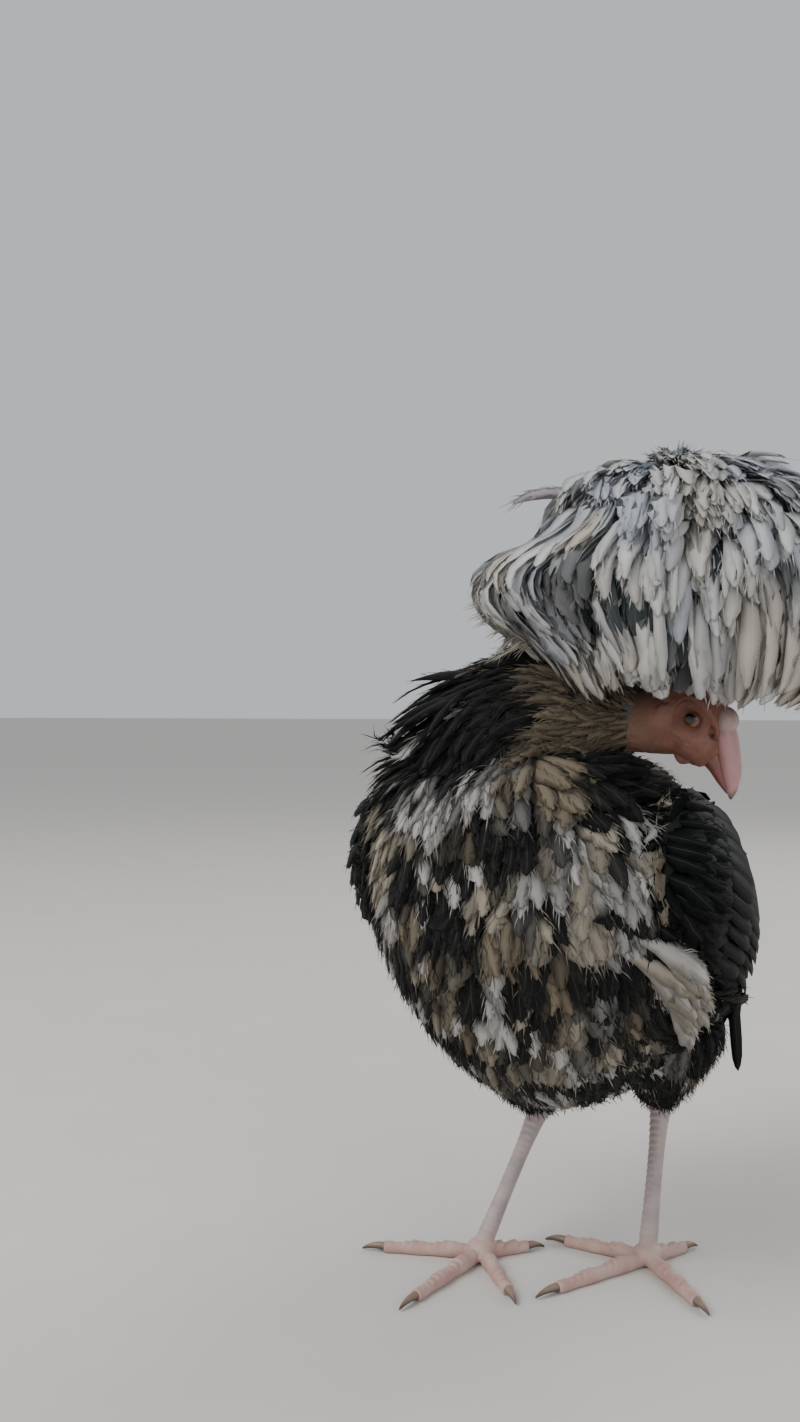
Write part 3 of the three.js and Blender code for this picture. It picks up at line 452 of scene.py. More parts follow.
wing_z, wing_half, wing_thick = (spline(WING["y"], WING[key]) for key in ("z", "half", "lift"))


def wing_lift(y, z):
    height = (z - wing_z(y)) / wing_half(y)
    return wing_thick(y) * np.sqrt(np.maximum(0, 1 - height * height))


def wing_form(sign, drop):
    y = np.linspace(WING["y"][0], WING["y"][-1], 30)[:, None]
    angle = circle(28)[None]
    z = wing_z(y) + (wing_half(y) - drop) * np.cos(angle)
    lift = np.sin(angle)
    x = wing_x(sign, y + 0 * z, z) + np.where(lift > 0, (wing_thick(y) - drop) * lift, 6 * lift)
    rings = np.stack([sign * x, y + 0 * z, z], -1)
    ends = [np.broadcast_to([sign * float(wing_x(sign, np.array(a), np.array(b))), a, b], (1, 28, 3))
            for a, b in WING_ENDS]
    return loft(np.concatenate([ends[0], rings, ends[1]]))


def thigh_form(leg, inset):
    points = mix(np.array(leg["hip"], float), np.array(leg["hock"], float), np.linspace(0, 1, 4)[:, None])
    return loft(limb_rings(points, np.array(THIGH_RADII, float) - inset, 28, 16))


body_parts = {
    "trunk": trunk_form(COAT_DEPTH),
    "neck": loft(limb_rings(NECK_LINE, np.array(NECK_RADIUS, float) - HACKLE_DEPTH, 32, 24)),
    "wing_left": wing_form(1, 1.5),
    "wing_right": wing_form(-1, 1.5),
    "thigh_left": thigh_form(LEGS["left"], 4.5),
    "thigh_right": thigh_form(LEGS["right"], 4.5),
    "tail": loft(sections(TAIL_STUB, TAIL_ENDS, 24, 10) - np.array([0, 3, 0])),
    "core": ball(CREST_CORE[0], CREST_CORE[1] - 3, 32),
    "nape": loft(limb_rings(THROAT_LINE, np.array(THROAT_RADIUS) - 1.4, 24, 14)),
}

# ---------------------------------------------------------------- markings

# How far a mark's soft edge reaches, as a share of its half-size
MARK_EDGE = 1.12


def marked(points, marks, background, seed):
    """The colour at each point: the mark that it lies deepest in, or else the background."""
    background = np.array(background, float)
    colours = background.copy()
    best = np.full(len(points), MARK_EDGE)
    wobble = .22 * waves(points, 7, seed)
    for colour, spots in marks.items():
        for *centre, across, upright in spots:
            x, y, z = (points - np.array(centre, float)).T
            reach = np.sqrt((x ** 2 + y ** 2) / across ** 2 + z ** 2 / upright ** 2) + wobble
            inside = reach < best
            best[inside] = reach[inside]
            share = smoothstep(MARK_EDGE, .7, reach[inside])[:, None]
            colours[inside] = mix(background[inside], colour, share)
    return colours


def body_colours(points):
    """Black, white and buff in uneven patches, black over the back and on the sides."""
    patch = waves(points, 21, 3)
    tone = waves(points, 30, 5)[:, None]
    front = smoothstep(40, -60, points[:, 1])
    pale = patch + .25 * front - .3 * smoothstep(230, 260, points[:, 2]) * (1 - front)
    light = mix(BUFF, CREAM, smoothstep(-.4, -.1, tone))
    light = mix(light, WHITE, smoothstep(-.05, .2, tone))
    colours = mix(BLACK, light, (.8 * smoothstep(.2, .6, pale))[:, None])
    return marked(points, BODY_MARKS, colours, seed=1)


def hackle_colours(points):
    """Tan at the throat and the front of the neck, black over its back, and russet where the face begins."""
    side = smoothstep(-6, 26, points[:, 0] - .45 * (points[:, 1] + 70)) + .3 * waves(points, 15, 8)
    colours = np.where((side > .5)[:, None], BUFF, BLACK)
    streak = (waves(points, 9, 12) > .42) & (side < .5)
    colours = np.where(streak[:, None], GREY, colours)
    colours = marked(points, HACKLE_MARKS, colours, seed=2)
    return mix(colours, RUSSET, smoothstep(44, 62, points[:, 0])[:, None])


def wing_colours(points):
    return marked(points, WING_MARKS, steady(WING_BLACK)(points), seed=6)


def crest_colours(points):
    """Off-white, with cream areas, blue-grey patches of painted shade, and a few dark marks, most of them
    painted shade.
    """
    tone = waves(points, 24, 21)[:, None]
    # blue-grey painted shade in random patches
    colours = mix(CREST_WHITE, CREST_PAINTED_SHADE, smoothstep(-.1, .5, tone))
    colours = mix(colours, CREST_WARM, .8 * smoothstep(.05, .5, -tone))
    low_edge = smoothstep(312, 292, points[:, 2])[:, None]
    colours = mix(colours, CREST_WARM, .6 * low_edge)
    outward = CREST_CENTRE + 1.07 * (points - CREST_CENTRE)
    return marked(outward, CREST_MARKS, colours, seed=4)


# ---------------------------------------------------------------- forms of the head

SKULL = dict(y=[-17, -13, -7, 1, 10, 19], half=[7, 10.4, 13.8, 16.5, 16, 12],
             height=[7, 10.2, 14.2, 18, 17.5, 13], z=[-4, -3.4, -2, 0, 1, 2])
UPPER_BILL = dict(y=[-36, -32.5, -26, -20, -14, -9], half=[1.8, 3.2, 4.8, 6.1, 7.2, 7],
                  height=[2.4, 4.2, 5.5, 5.9, 6, 5.4], z=[-7, -3.9, .2, 3.6, 6.6, 8.6])
LOWER_BILL = dict(y=[-32, -27, -20, -13], half=[1.8, 3.2, 4.9, 6.4], height=[1.4, 2.8, 4.8, 6.4],
                  z=[-7.8, -6.4, -4, -3.6])
KNOB = np.array([3, -6.2, 11.2])
NOSTRIL = np.array([9.6, -10.4, 4.2])
CHEEK_LINE = np.array([[12.6, 11, -10.7], [14, 3, -8], [12.8, -4, -4], [10, -11, -.6]])


def torus(centre, ring_y, ring_z, thickness):
    """A ring around the X axis."""
    angle = circle(40)
    line = np.stack([0 * angle, ring_y * np.cos(angle), ring_z * np.sin(angle)], 1) + centre
    out = unit(line - np.asarray(centre, float))
    rings = ring(line, out * thickness, np.tile([thickness, 0, 0], (40, 1)), 12)
    return rings.reshape(-1, 3), grid_faces(40, 12, closed=True)


def mirrored(points):
    """The points with those of the head's right half mirrored to the left."""
    return np.abs(points) * [1, 0, 0] + points * [0, 1, 1]


def from_eye(points):
    """How far each point lies from the eye's middle, seen from the side."""
    return np.hypot(points[:, 1] - EYE["y"], points[:, 2] - EYE["z"])


def bar(points, radii, sides=14, count=14):
    return loft(limb_rings(np.array(points, float), radii, sides, count))


def head_parts():
    throat, sides = loft(limb_rings(THROAT_LINE, THROAT_RADIUS, 32, 16))
    parts = [loft(sections(SKULL, [(-19.5, -4), (23, 3)], 40, 30)), (body_to_head(throat), sides)]
    for sign in (1, -1):
        eye = np.array([sign * 14.6, EYE["y"], EYE["z"]])
        parts += [
            torus(eye, ring_y=6.1, ring_z=5.6, thickness=1.35),
            torus(eye - [sign * .5, 0, 0], ring_y=8.6, ring_z=8.0, thickness=.75),
            ball([sign * 14.1, 11.8, -7], [2.4, 4.2, 5.4]),
            ball([sign * 4.4, -8, -13.5], [2.1, 4.6, 3.8]),
            bar(CHEEK_LINE * [sign, 1, 1], [1.2, 2.2, 2.3, 1.5]),
            bar([[sign * 10.5, -12, 5.5], [sign * 14, -5, 9.8], [sign * 15.2, 3, 10.8], [sign * 14.2, 11, 8]],
                [.9, 1.5, 1.5, .8]),
        ]
    parts.append(ball([0, -6, -8], [7, 10, 6]))
    return parts


def wrinkled(points, faces):
    """Fine folds and small knobs over the bare face, strongest round the eye and on the cheek."""
    round_eye = from_eye(points)
    folds = np.sin(round_eye * 2.6 + 1.6 * waves(points, 5, 31)) * smoothstep(6.5, 8.5, round_eye)
    folds *= smoothstep(17, 11, round_eye) * smoothstep(7, 11, np.abs(points[:, 0]))
    depth = .16 * folds + .3 * waves(points, 1.9, 33) * smoothstep(24, 12, points[:, 1])
    return points + normals_of(points, faces) * depth[:, None]


def head_colours(points):
    """Brownish red, with a painted highlight along the cheek, paler on the earlobe, dark round the eye, and
    painted shade in the nostril.
    """
    colours = mix(FACE, FACE_RED, smoothstep(-.5, .6, waves(points, 5, 41)[:, None]))
    cheek = spline(np.linspace(0, 1, 4), CHEEK_LINE)(np.linspace(0, 1, 24))
    to_cheek = np.linalg.norm(mirrored(points)[:, None] - cheek[None], axis=2).min(1)
    to_lobe = np.linalg.norm((points - [0, 11.8, -7]) * [0, 1, .8], axis=1)
    sideways = np.abs(points[:, 0])
    for colour, share in (
            # painted highlight along the cheek ridge
            (CHEEK_PAINTED_HIGHLIGHT, .7 * smoothstep(4.2, 1.4, to_cheek)),
            (THROAT_TAN, smoothstep(74, 58, head_to_body(points)[:, 0])),
            # painted shade in the nostril slit
            (NOSTRIL_PAINTED_SHADE_RED, .9 * smoothstep(1.25, .6, nostril_gap(points))),
            (EARLOBE, .7 * (smoothstep(7, 4, to_lobe) * (sideways > 11))),
            (EYE_RIM, .65 * smoothstep(6.2, 5, from_eye(points)) * (sideways > 9))):
        colours = mix(colours, colour, share[:, None])
    return colours


# ---------------------------------------------------------------- forms of the feet

def heading(degrees):
    return np.array([math.cos(math.radians(degrees)), math.sin(math.radians(degrees)), 0])


def plate(centre, down, front, radius, length, reach, height, turns=7):
    """A horny plate over part of a round limb: its lower edge stands up, its upper edge is sunk."""
    across = np.cross(down, front)
    rings = []
    for turn in np.linspace(-1, 1, turns):
        angle = math.radians(reach * turn)
        out = front * math.cos(angle) + across * math.sin(angle)
        edge = height * (1 - .6 * abs(turn) ** 3)
        rings.append([centre - down * length / 2 + out * (radius - height),
                      centre + out * (radius + .55 * edge),
                      centre + down * length * .42 + out * (radius + edge),
                      centre + down * length / 2 + out * (radius + .5 * edge),
                      centre + down * length / 2 + out * (radius - 1.6)])
    return loft(np.array(rings))


def toe_radius(t):
    return mix(4.3, 2.9, t) * (1 + .1 * np.cos(6 * math.pi * t))


def leg_parts(leg):
    """Shank, foot and toes, with scutes down the front and back of the shank and along each toe."""
    hub = np.array([*leg["hub"], 0.0])
    foot = hub + [0, 0, ANKLE_HEIGHT]
    hock = np.array(leg["hock"], float)
    steps = np.linspace(0, 1, 5)[:, None]
    parts = [loft(limb_rings(mix(hock, foot, steps), SHANK_RADII, 32, 60)),
             ball(hub + [0, 0, 4.6], [8, 8, 6.2])]
    down = unit(foot - hock)
    forward = heading(leg["toes"][2][0])
    forward = unit(forward - down * forward.dot(down))
    radius = spline(steps[:, 0], SHANK_RADII)
    for front, reach, count, offset, height in ((forward, 62, 19, 0, .75), (-forward, 48, 22, .5, .5)):
        length = 78 * .86 / count * 1.25
        for i in range(count):
            t = .1 + .82 * (i + offset) / count
            parts.append(plate(mix(hock, foot, t), down, front, float(radius(t)), length, reach, height))
    up = np.array([0, 0, 1.0])
    for direction, length, _ in leg["toes"]:
        aim = heading(direction)
        side = np.cross(up, aim)
        t = np.linspace(0, 1, 26)[:, None]
        r = toe_radius(t)
        angle = circle(24)[None, :]
        rings = (hub + (t * length)[:, :, None] * aim + (r * np.cos(angle))[:, :, None] * side)
        rings[:, :, 2] = np.maximum(0, r * (.8 + np.sin(angle)))
        tip = np.tile(hub + aim * (length + 1.2) + [0, 0, 2.4], (1, 24, 1))
        parts.append(loft(np.concatenate([rings, tip])))
        for i in range(int((length - 8) / SCUTE_STEP)):
            along = 7 + SCUTE_STEP * (i + .6)
            r = float(toe_radius(along / length))
            parts.append(plate(hub + aim * along + [0, 0, .8 * r], aim, up, r, 4.9, 56, .6))
    return parts


def leg_colours(points):
    tone = waves(points, 9, 51)[:, None]
    shank = mix(SHANK, SHANK_GREY, smoothstep(-.3, .5, tone))
    toe = mix(TOE, TOE_PALE, smoothstep(-.4, .5, tone))
    return mix(toe, shank, smoothstep(7, 16, points[:, 2])[:, None])


def claw_form(leg, toe):
    direction, length, claw = toe
    aim = heading(direction)
    hub = np.array([*leg["hub"], 0.0])
    steps = np.linspace(0, 1, 4)
    reach = (length - .4 + (claw + .6) * steps)[:, None]
    points = hub + aim * reach + np.array(CLAW_HEIGHTS)[:, None] * [0, 0, 1]
    return loft(limb_rings(points, CLAW_RADII, 16, 14))


# ---------------------------------------------------------------- the skin

def build_skin():
    """One object: the body under the coat, the bare face, and the scaled legs and feet."""
    body = fused("body", list(body_parts.values()), BODY_VOXEL, smooth=4)
    head = fused("face", head_parts(), FACE_VOXEL, smooth=3)
    feet = fused("feet", leg_parts(LEGS["left"]) + leg_parts(LEGS["right"]), FEET_VOXEL, smooth=1)
    feet[0][:, 2] = np.maximum(feet[0][:, 2], 0)
    head_points = nostril_cut(wrinkled(*head), head[1])
    x, y, z = body[0].T
    on_wing = (np.abs(z - wing_z(y)) < wing_half(y) + 2) & (y > -78) & (y < 130) & (np.abs(x) > 55)
    in_core = np.linalg.norm((body[0] - CREST_CORE[0]) / (CREST_CORE[1] + 4), axis=1) < 1
    body_tint = body_colours(body[0]) * .7
    body_tint[in_core] = CORE_GREY
    body_tint[on_wing] = WING_BLACK
    mesh = make_mesh("skin", *merged([body, (head_to_body(head_points), head[1]), feet]))
    tint = np.concatenate([body_tint, head_colours(head_points), leg_colours(feet[0])])
    piece = dressed("skin", mesh, tint, "down", "face", "scales")
    kinds = np.repeat([0, 1, 2], [len(part[1]) for part in (body, head, feet)])
    mesh.polygons.foreach_set("material_index", kinds.astype(np.int32))
    bpy.context.view_layer.objects.active = piece
    piece.select_set(True)
    bpy.ops.object.mode_set(mode="EDIT")
    bpy.ops.mesh.select_all(action="SELECT")
    bpy.ops.uv.smart_project(angle_limit=math.radians(66), island_margin=.002)
    bpy.ops.object.mode_set(mode="OBJECT")
    piece.select_set(False)
    mesh.uv_layers[0].name = "OFBake"
    flat = np.empty(len(mesh.loops) * 2)
    mesh.uv_layers[0].data.foreach_get("uv", flat)
    starts = np.empty(len(mesh.polygons), np.int32)
    mesh.polygons.foreach_get("loop_start", starts)
    return piece, body, flat.reshape(-1, 2)[starts]


# ---------------------------------------------------------------- materials

MATERIALS = {}


class Nodes:
    """A short way to write a material's nodes."""

    def __init__(self, name):
        self.material = bpy.data.materials.new(name)
        self.material.use_nodes = True
        self.tree = self.material.node_tree
        MATERIALS[name] = self.material

    def add(self, kind, inputs, **options):
        """A new node with its options and inputs set, as its outputs."""
        node = self.tree.nodes.new("ShaderNode" + kind)
        for key, value in options.items():
            setattr(node, key, value)
        for key, value in inputs.items():
            self.set(node.inputs[key], value)
        return node.outputs

    def set(self, socket, value):
        if isinstance(value, bpy.types.NodeSocket):
            self.tree.links.new(value, socket)
        else:
            socket.default_value = value

    def shader(self, **settings):
        for key, value in settings.items():
            self.set(self.tree.nodes["Principled BSDF"].inputs[key.replace("_", " ")], value)

    def math(self, operation, a, b=0.0):
        return self.add("Math", {0: a, 1: b}, operation=operation)[0]

    def mixed(self, factor, a, b, blend="MIX"):
        inputs = {"Factor": factor, "A": a, "B": b}
        return self.add("Mix", inputs, data_type="RGBA", blend_type=blend)["Result"]

    def ramp(self, value, low, high):
        return self.add("MapRange", {"Value": value, "To Min": low, "To Max": high})["Result"]

    def noise(self, scale, detail=3.0, roughness=.5):
        inputs = {"Scale": scale, "Detail": detail, "Roughness": roughness}
        return self.add("TexNoise", {**inputs, "Vector": self.add("TexCoord", {})["Object"]})["Fac"]

    def tint(self):
        """The colour that the mesh carries."""
        return self.add("Attribute", {}, attribute_name="tint")["Color"]

    def stained(self, cloud, strength, colour):
        """The mesh's colour, stained where the cloud is dense."""
        return self.mixed(self.ramp(cloud, 0.0, strength), self.tint(), (*colour, 1), "MULTIPLY")

    def bump(self, height, distance, strength):
        inputs = {"Strength": strength, "Distance": distance, "Height": height}
        self.shader(Normal=self.add("Bump", inputs)["Normal"])


def feather_material(name, roughness, sheen, painted_green_sheen=None, barbs=240.0, contrast=.14):
    """Barbs slanting out from a shaft, over the colour that each feather carries, with a painted green sheen
    added to it in clouds where one is given.
    """
    n = Nodes(name)
    split = n.add("SeparateXYZ", {"Vector": n.add("Attribute", {}, attribute_name="vane")["Vector"]})
    across = n.math("ABSOLUTE", split["X"])
    run = n.math("SUBTRACT", n.math("MULTIPLY", split["Y"], barbs), n.math("MULTIPLY", across, barbs * .12))
    wander = n.math("MULTIPLY", n.noise(260, 2), 5.0)
    stripe = n.math("MULTIPLY", n.math("ADD", n.math("SINE", n.math("ADD", run, wander)), 1.0), .5)
    shaft = n.math("LESS_THAN", across, .05)
    cloud = n.noise(90, 3)
    shade = n.math("ADD", n.math("MULTIPLY", stripe, contrast), 1 - contrast * .7)
    shade = n.math("MULTIPLY", shade, n.math("ADD", n.math("MULTIPLY", cloud, .3), .85))
    shade = n.add("CombineColor", {"Red": shade, "Green": shade, "Blue": shade})["Color"]
    colour = n.mixed(1.0, n.tint(), shade, "MULTIPLY")
    colour = n.mixed(n.math("MULTIPLY", shaft, .12), colour, (.22, .2, .17, 1))
    if painted_green_sheen:
        # painted green sheen, added to the base colour in clouds
        colour = n.mixed(n.math("MULTIPLY", cloud, .6), colour, (*painted_green_sheen, 1), "ADD")
    n.shader(Base_Color=colour, Roughness=roughness, Sheen_Weight=sheen, Sheen_Roughness=.4,
             Specular_IOR_Level=.06 if painted_green_sheen else .1)
    n.bump(n.math("ADD", n.math("MULTIPLY", stripe, .6), n.math("MULTIPLY", shaft, .8)), .0003, .5)


def skin_materials():
    n = Nodes("down")
    fluff = n.noise(420, 5, .7)
    n.shader(Base_Color=n.stained(fluff, .8, (.02, .02, .02)), Roughness=.95)
    n.bump(fluff, .002, .8)

    n = Nodes("face")
    pores = n.add("TexVoronoi", {"Scale": 900.0})["Distance"]
    blotch = n.noise(160, 4)
    flush = n.math("MULTIPLY", n.ramp(pores, 1.0, 0.0), .25)
    n.shader(Base_Color=n.mixed(flush, n.stained(blotch, .6, (.75, .42, .34)), (.62, .3, .24, 1)),
             Roughness=n.ramp(blotch, .42, .68), Subsurface_Weight=.25,
             Subsurface_Radius=(.004, .0014, .0008), Subsurface_Scale=.6)
    n.bump(n.math("ADD", n.math("MULTIPLY", pores, -1.0), n.math("MULTIPLY", blotch, .6)), .0006, .55)

    n = Nodes("scales")
    cells = n.add("TexVoronoi", {"Scale": 520.0}, feature="DISTANCE_TO_EDGE")["Distance"]
    edge = n.math("MULTIPLY", n.math("LESS_THAN", cells, .06), .22)
    dirt = n.noise(120, 4)
    n.shader(Base_Color=n.mixed(edge, n.stained(dirt, .7, (.72, .6, .5)), (.2, .12, .1, 1)),
             Roughness=n.ramp(dirt, .38, .62), Coat_Weight=.12, Coat_Roughness=.4)
    n.bump(n.math("MINIMUM", cells, .15), .0008, .5)

    n = Nodes("eye")
    n.shader(Base_Color=n.stained(n.noise(1400, 3), .5, (.7, .6, .5)), Roughness=.3,
             Coat_Weight=.5, Coat_Roughness=.08)


def horn_material(name, roughness):
    n = Nodes(name)
    streak = n.noise(240, 4, .6)
    n.shader(Base_Color=n.stained(streak, .55, (.8, .62, .55)),
             Roughness=n.ramp(streak, roughness - .08, roughness + .12), Coat_Weight=.2, Coat_Roughness=.25)
    n.bump(streak, .0003, .35)


# ---------------------------------------------------------------- feathers

# Width along each kind of feather, from its root at 0 to its tip at 1
OUTLINES = {
    "soft": [(0, .3), (.14, .62), (.3, .9), (.44, 1), (.58, .97), (.7, .86), (.8, .7), (.89, .48), (.96, .25),
             (1, 0)],
    "round": [(0, .3), (.18, .72), (.4, .95), (.6, 1), (.76, .93), (.88, .75), (.96, .42), (1, 0)],
    "lance": [(0, .35), (.2, .85), (.42, 1), (.62, .88), (.8, .6), (.92, .3), (1, 0)],
    "plume": [(0, .3), (.14, .5), (.28, .72), (.42, .9), (.55, 1), (.67, .95), (.78, .78), (.88, .52),
              (.95, .27), (1, 0)],
    "puff": [(0, .25), (.3, .5), (.48, .74), (.62, .93), (.74, 1), (.84, .95), (.92, .75), (.975, .42),
             (1, 0)],
    "flight": [(0, .35), (.2, .85), (.45, 1), (.7, 1), (.86, .85), (.95, .5), (1, 0)],
    "barb": [(0, .9), (.5, .8), (1, 0)],
}
PLAIN_FEATHER = dict(camber=.18, thickness=.35, ragged=.1, fade=(.55, .8), vary=.12)
PATCH_HALF = .0014


def places_of(outline):
    """How far along the feather each of an outline's widths stands."""
    return np.array([t for t, _ in OUTLINES[outline]])


def feather_points(one, rng):
    """Closed blades: (N, rings * 4 + 1, 3) vertices, four round each cross-section and one at the tip."""
    path = one["path"]
    t, wide = np.array(OUTLINES[one["outline"]]).T
    along = unit(np.gradient(path, axis=1))
    side = unit(np.cross(along, one["out"]))
    up = np.cross(side, along)
    half = one["width"][:, None] * wide[None]
    torn = one["ragged"] * (.3 + 1.4 * t)[None]
    left = half * (1 + torn * rng.uniform(-1, .8, half.shape))
    right = half * (1 + torn * rng.uniform(-1, .8, half.shape))
    thick = one["thickness"] * np.maximum(.3, 1 - .6 * t)[None, :, None]
    drop = (one["camber"] * half)[..., None]
    blade = np.stack([path - side * left[..., None] - up * drop, path + up * thick,
                      path + side * right[..., None] - up * drop, path - up * thick * .3], 2)
    return np.concatenate([blade[:, :-1].reshape(len(path), -1, 3), path[:, -1:]], 1)


def feather_faces(count, rings):
    """Faces of one blade repeated: rings cross-sections of four points and a tip."""
    tip = 4 * rings
    quads = np.array([(0, 3, 2, 1), *grid_faces(rings, 4)])
    triangles = np.array([(tip - 4 + i, tip - 4 + (i + 1) % 4, tip) for i in range(4)])
    offsets = (np.arange(count) * (tip + 1))[:, None, None]
    return (quads + offsets).reshape(-1, 4), (triangles + offsets).reshape(-1, 3)


def feather_object(name, batches, material, replaced):
    """One mesh from batches of feathers, each a dict of paths, outward ways, widths and colours."""
    rng = np.random.default_rng(len(name) * 7 + 1)
    points, quads, triangles, colours, vanes, patches = [], [], [], [], [], []
    start = 0
    for batch in batches:
        one = {**PLAIN_FEATHER, **batch}
        count = len(one["path"])
        rings = len(OUTLINES[one["outline"]]) - 1
        points.append(feather_points(one, rng).reshape(-1, 3))
        four, three = feather_faces(count, rings)
        quads.append(four + start)
        triangles.append(three + start)
        start += len(points[-1])
        along = np.append(np.repeat(places_of(one["outline"])[:-1], 4), 1)
        across = np.array([-1, 0, 1, 0] * rings + [0], float)
        tint = mix(one["base"][:, None], one["tip"][:, None], smoothstep(*one["fade"], along)[None, :, None])
        colours.append((tint * (1 + one["vary"] * rng.uniform(-1, 1, (count, 1, 1)))).reshape(-1, 3))
        seed = rng.uniform(0, 20, (count, 1))
        vanes.append(np.stack(np.broadcast_arrays(across, along, seed), -1).reshape(-1, 3))
        corner = PATCH_HALF * np.stack([across, 2 * along - 1], -1)
        patches.append((one["patch"][:, None] + corner).reshape(-1, 2))
    points = metres(np.concatenate(points))
    quads = np.concatenate(quads)
    triangles = np.concatenate(triangles)
    loops = np.concatenate([quads.ravel(), triangles.ravel()]).astype(np.int32)
    sizes = np.repeat([4, 3], [len(quads), len(triangles)])
    mesh = bpy.data.meshes.new(name)
    mesh.vertices.add(len(points))
    mesh.vertices.foreach_set("co", points.astype(np.float32).ravel())
    mesh.loops.add(len(loops))
    mesh.loops.foreach_set("vertex_index", loops)
    mesh.polygons.add(len(sizes))
    mesh.polygons.foreach_set("loop_start", (np.cumsum(sizes) - sizes).astype(np.int32))
    mesh.update(calc_edges=True)
    piece = dressed(name, mesh, np.clip(np.concatenate(colours), 0, .9), material)
    layer = mesh.attributes.new("vane", "FLOAT_VECTOR", "POINT")
    layer.data.foreach_set("vector", np.concatenate(vanes).astype(np.float32).ravel())
    uv = mesh.uv_layers.new(name="OFBake")
    uv.data.foreach_set("uv", np.concatenate(patches)[loops].astype(np.float32).ravel())
    mesh.validate()
    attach(piece, "root")
    if replaced:
        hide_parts(*replaced)


class Shell:
    """The body's surface under the coat, and what grows on it."""

    def __init__(self, body, patches):
        self.points, self.faces = body
        self.tree = BVHTree.FromPolygons([Vector(p) for p in self.points], self.faces)
        self.patches = patches
        self.centres = np.array([self.points[list(face)].mean(0) for face in self.faces])
        forms = [BVHTree.FromPolygons([Vector(p) for p in part[0]], part[1]) for part in body_parts.values()]
        self.names = list(body_parts)
        gaps = np.array([[form.find_nearest(Vector(c))[3] for form in forms] for c in self.centres])
        self.kind = gaps.argmin(1)

    def nearest(self, points):
        """The shell's nearest point to each point, its normal there and the face it lies on."""
        at, normal, face, _ = zip(*(self.tree.find_nearest(Vector(p)) for p in points))
        return np.array(at), np.array(normal), np.array(face)

    def patch_at(self, points):
        return self.patches[self.nearest(points)[2]]

    def seeds(self, kinds, spacing, keep, rng):
        """Well spread roots on the named forms, spacing apart."""
        order = np.flatnonzero(np.isin(self.kind, [self.names.index(k) for k in kinds]))
        order = rng.permutation(order[keep(self.centres[order])])
        cells, roots = {}, []
        for i in order:
            point = self.centres[i]
            gap = spacing(point) if callable(spacing) else spacing
            cell = tuple((point // 8).astype(int))
            near = (cells.get((cell[0] + a, cell[1] + b, cell[2] + c), ())
                    for a in (-1, 0, 1) for b in (-1, 0, 1) for c in (-1, 0, 1))
            if any(np.sum((point - other) ** 2) < gap * gap for group in near for other in group):
                continue
            cells.setdefault(cell, []).append(point)
            roots.append(point + rng.uniform(-.8, .8, 3))
        return np.array(roots)

    def paths(self, roots, flow, length, places, depth, sink, rng, sway):
        """Feathers that follow the shell from their roots along the flow, rising to the coat's depth."""
        at, normal, _ = self.nearest(roots)
        turn = sway * rng.normal(size=(len(roots), 1))
        path, out = [at], [normal]
        for k in range(1, len(places)):
            step = (places[k] - places[k - 1]) * length
            way = flow(at)
            way = unit(way - normal * np.sum(way * normal, 1, keepdims=True))
            way = unit(way + np.cross(normal, way) * turn)
            at, normal, _ = self.nearest(at + way * step[:, None])
            path.append(at)
            out.append(normal)
        path = np.stack(path, 1)
        out = unit(np.stack(out, 1))
        smooth = unit(out + np.roll(out, 1, 1) * (np.arange(len(places)) > 0)[None, :, None])
        rise = -sink + (np.asarray(depth).reshape(-1, 1) + sink) * np.power(np.asarray(places), .8)[None]
        return path + smooth * rise[..., None], smooth


def trunk_flow(points):
    """Down the breast, back along the sides and over the rump."""
    back = smoothstep(-100, 20, points[:, 1])[:, None]
    flow = mix([0, .35, -1], [0, 1, -.42], back)
    rump = smoothstep(60, 110, points[:, 1])[:, None] * smoothstep(150, 175, points[:, 2])[:, None]
    return mix(flow, [0, 1, 0], rump)


def neck_flow(points):
    """From the head down the neck, then spreading over the shoulders and breast."""
    t = np.linspace(0, 1, 60)
    stations = spline(np.linspace(0, 1, 5), NECK_LINE)(t)
    ways = unit(np.gradient(stations, axis=0))
    near = np.linalg.norm(points[:, None] - stations[None], axis=2).argmin(1)
    away = unit((points - stations[near]) * [1, 1, .2])
    loose = smoothstep(.6, .1, t[near])[:, None]
    return -ways[near] + .9 * loose * away + loose * np.array([0, .2, -.5])


def leg_flow(points):
    legs = [np.array(LEGS[s]["hock"], float) - np.array(LEGS[s]["hip"], float) for s in ("left", "right")]
    return np.where(points[:, :1] > 0, legs[0], legs[1])


def batch(shell, roots, flow, outline, colour_at, rng, length, width, depth, sink, share, sway=.16,
          **settings):
    """Feathers over the shell, coloured by where their outer half lies."""
    places = places_of(outline)
    length = length * (1 + .16 * rng.uniform(-1, 1, len(roots)))
    width = width * (1 + .18 * rng.uniform(-1, 1, len(roots)))
    depth = depth * (1 + .25 * rng.uniform(-1, 1, len(roots)))
    path, out = shell.paths(roots, flow, length, places, depth, sink, rng, sway)
    colours = colour_at(path[:, int(.6 * len(places))])
    return dict(path=path, out=out, width=width, outline=outline, base=colours,
                tip=tipped(colours, rng, share), patch=shell.patch_at(roots), **settings)


def tipped(colours, rng, share):
    """Some dark feathers end in white or cream, and some pale ones in black."""
    tips = colours.copy()
    dark = colours.mean(1) < .1
    change = rng.random(len(colours)) < share
    tips[dark & change] = WHITE
    tips[dark & change & (rng.random(len(colours)) < .3)] = CREAM
    pale = ~dark & (rng.random(len(colours)) < share * .6)
    tips[pale] = BLACK
    return tips


# ---------------------------------------------------------------- coats

def split_up(one, chosen):
    """The part of a batch that is chosen."""
    return {key: value[chosen] if isinstance(value, np.ndarray) else value for key, value in one.items()}


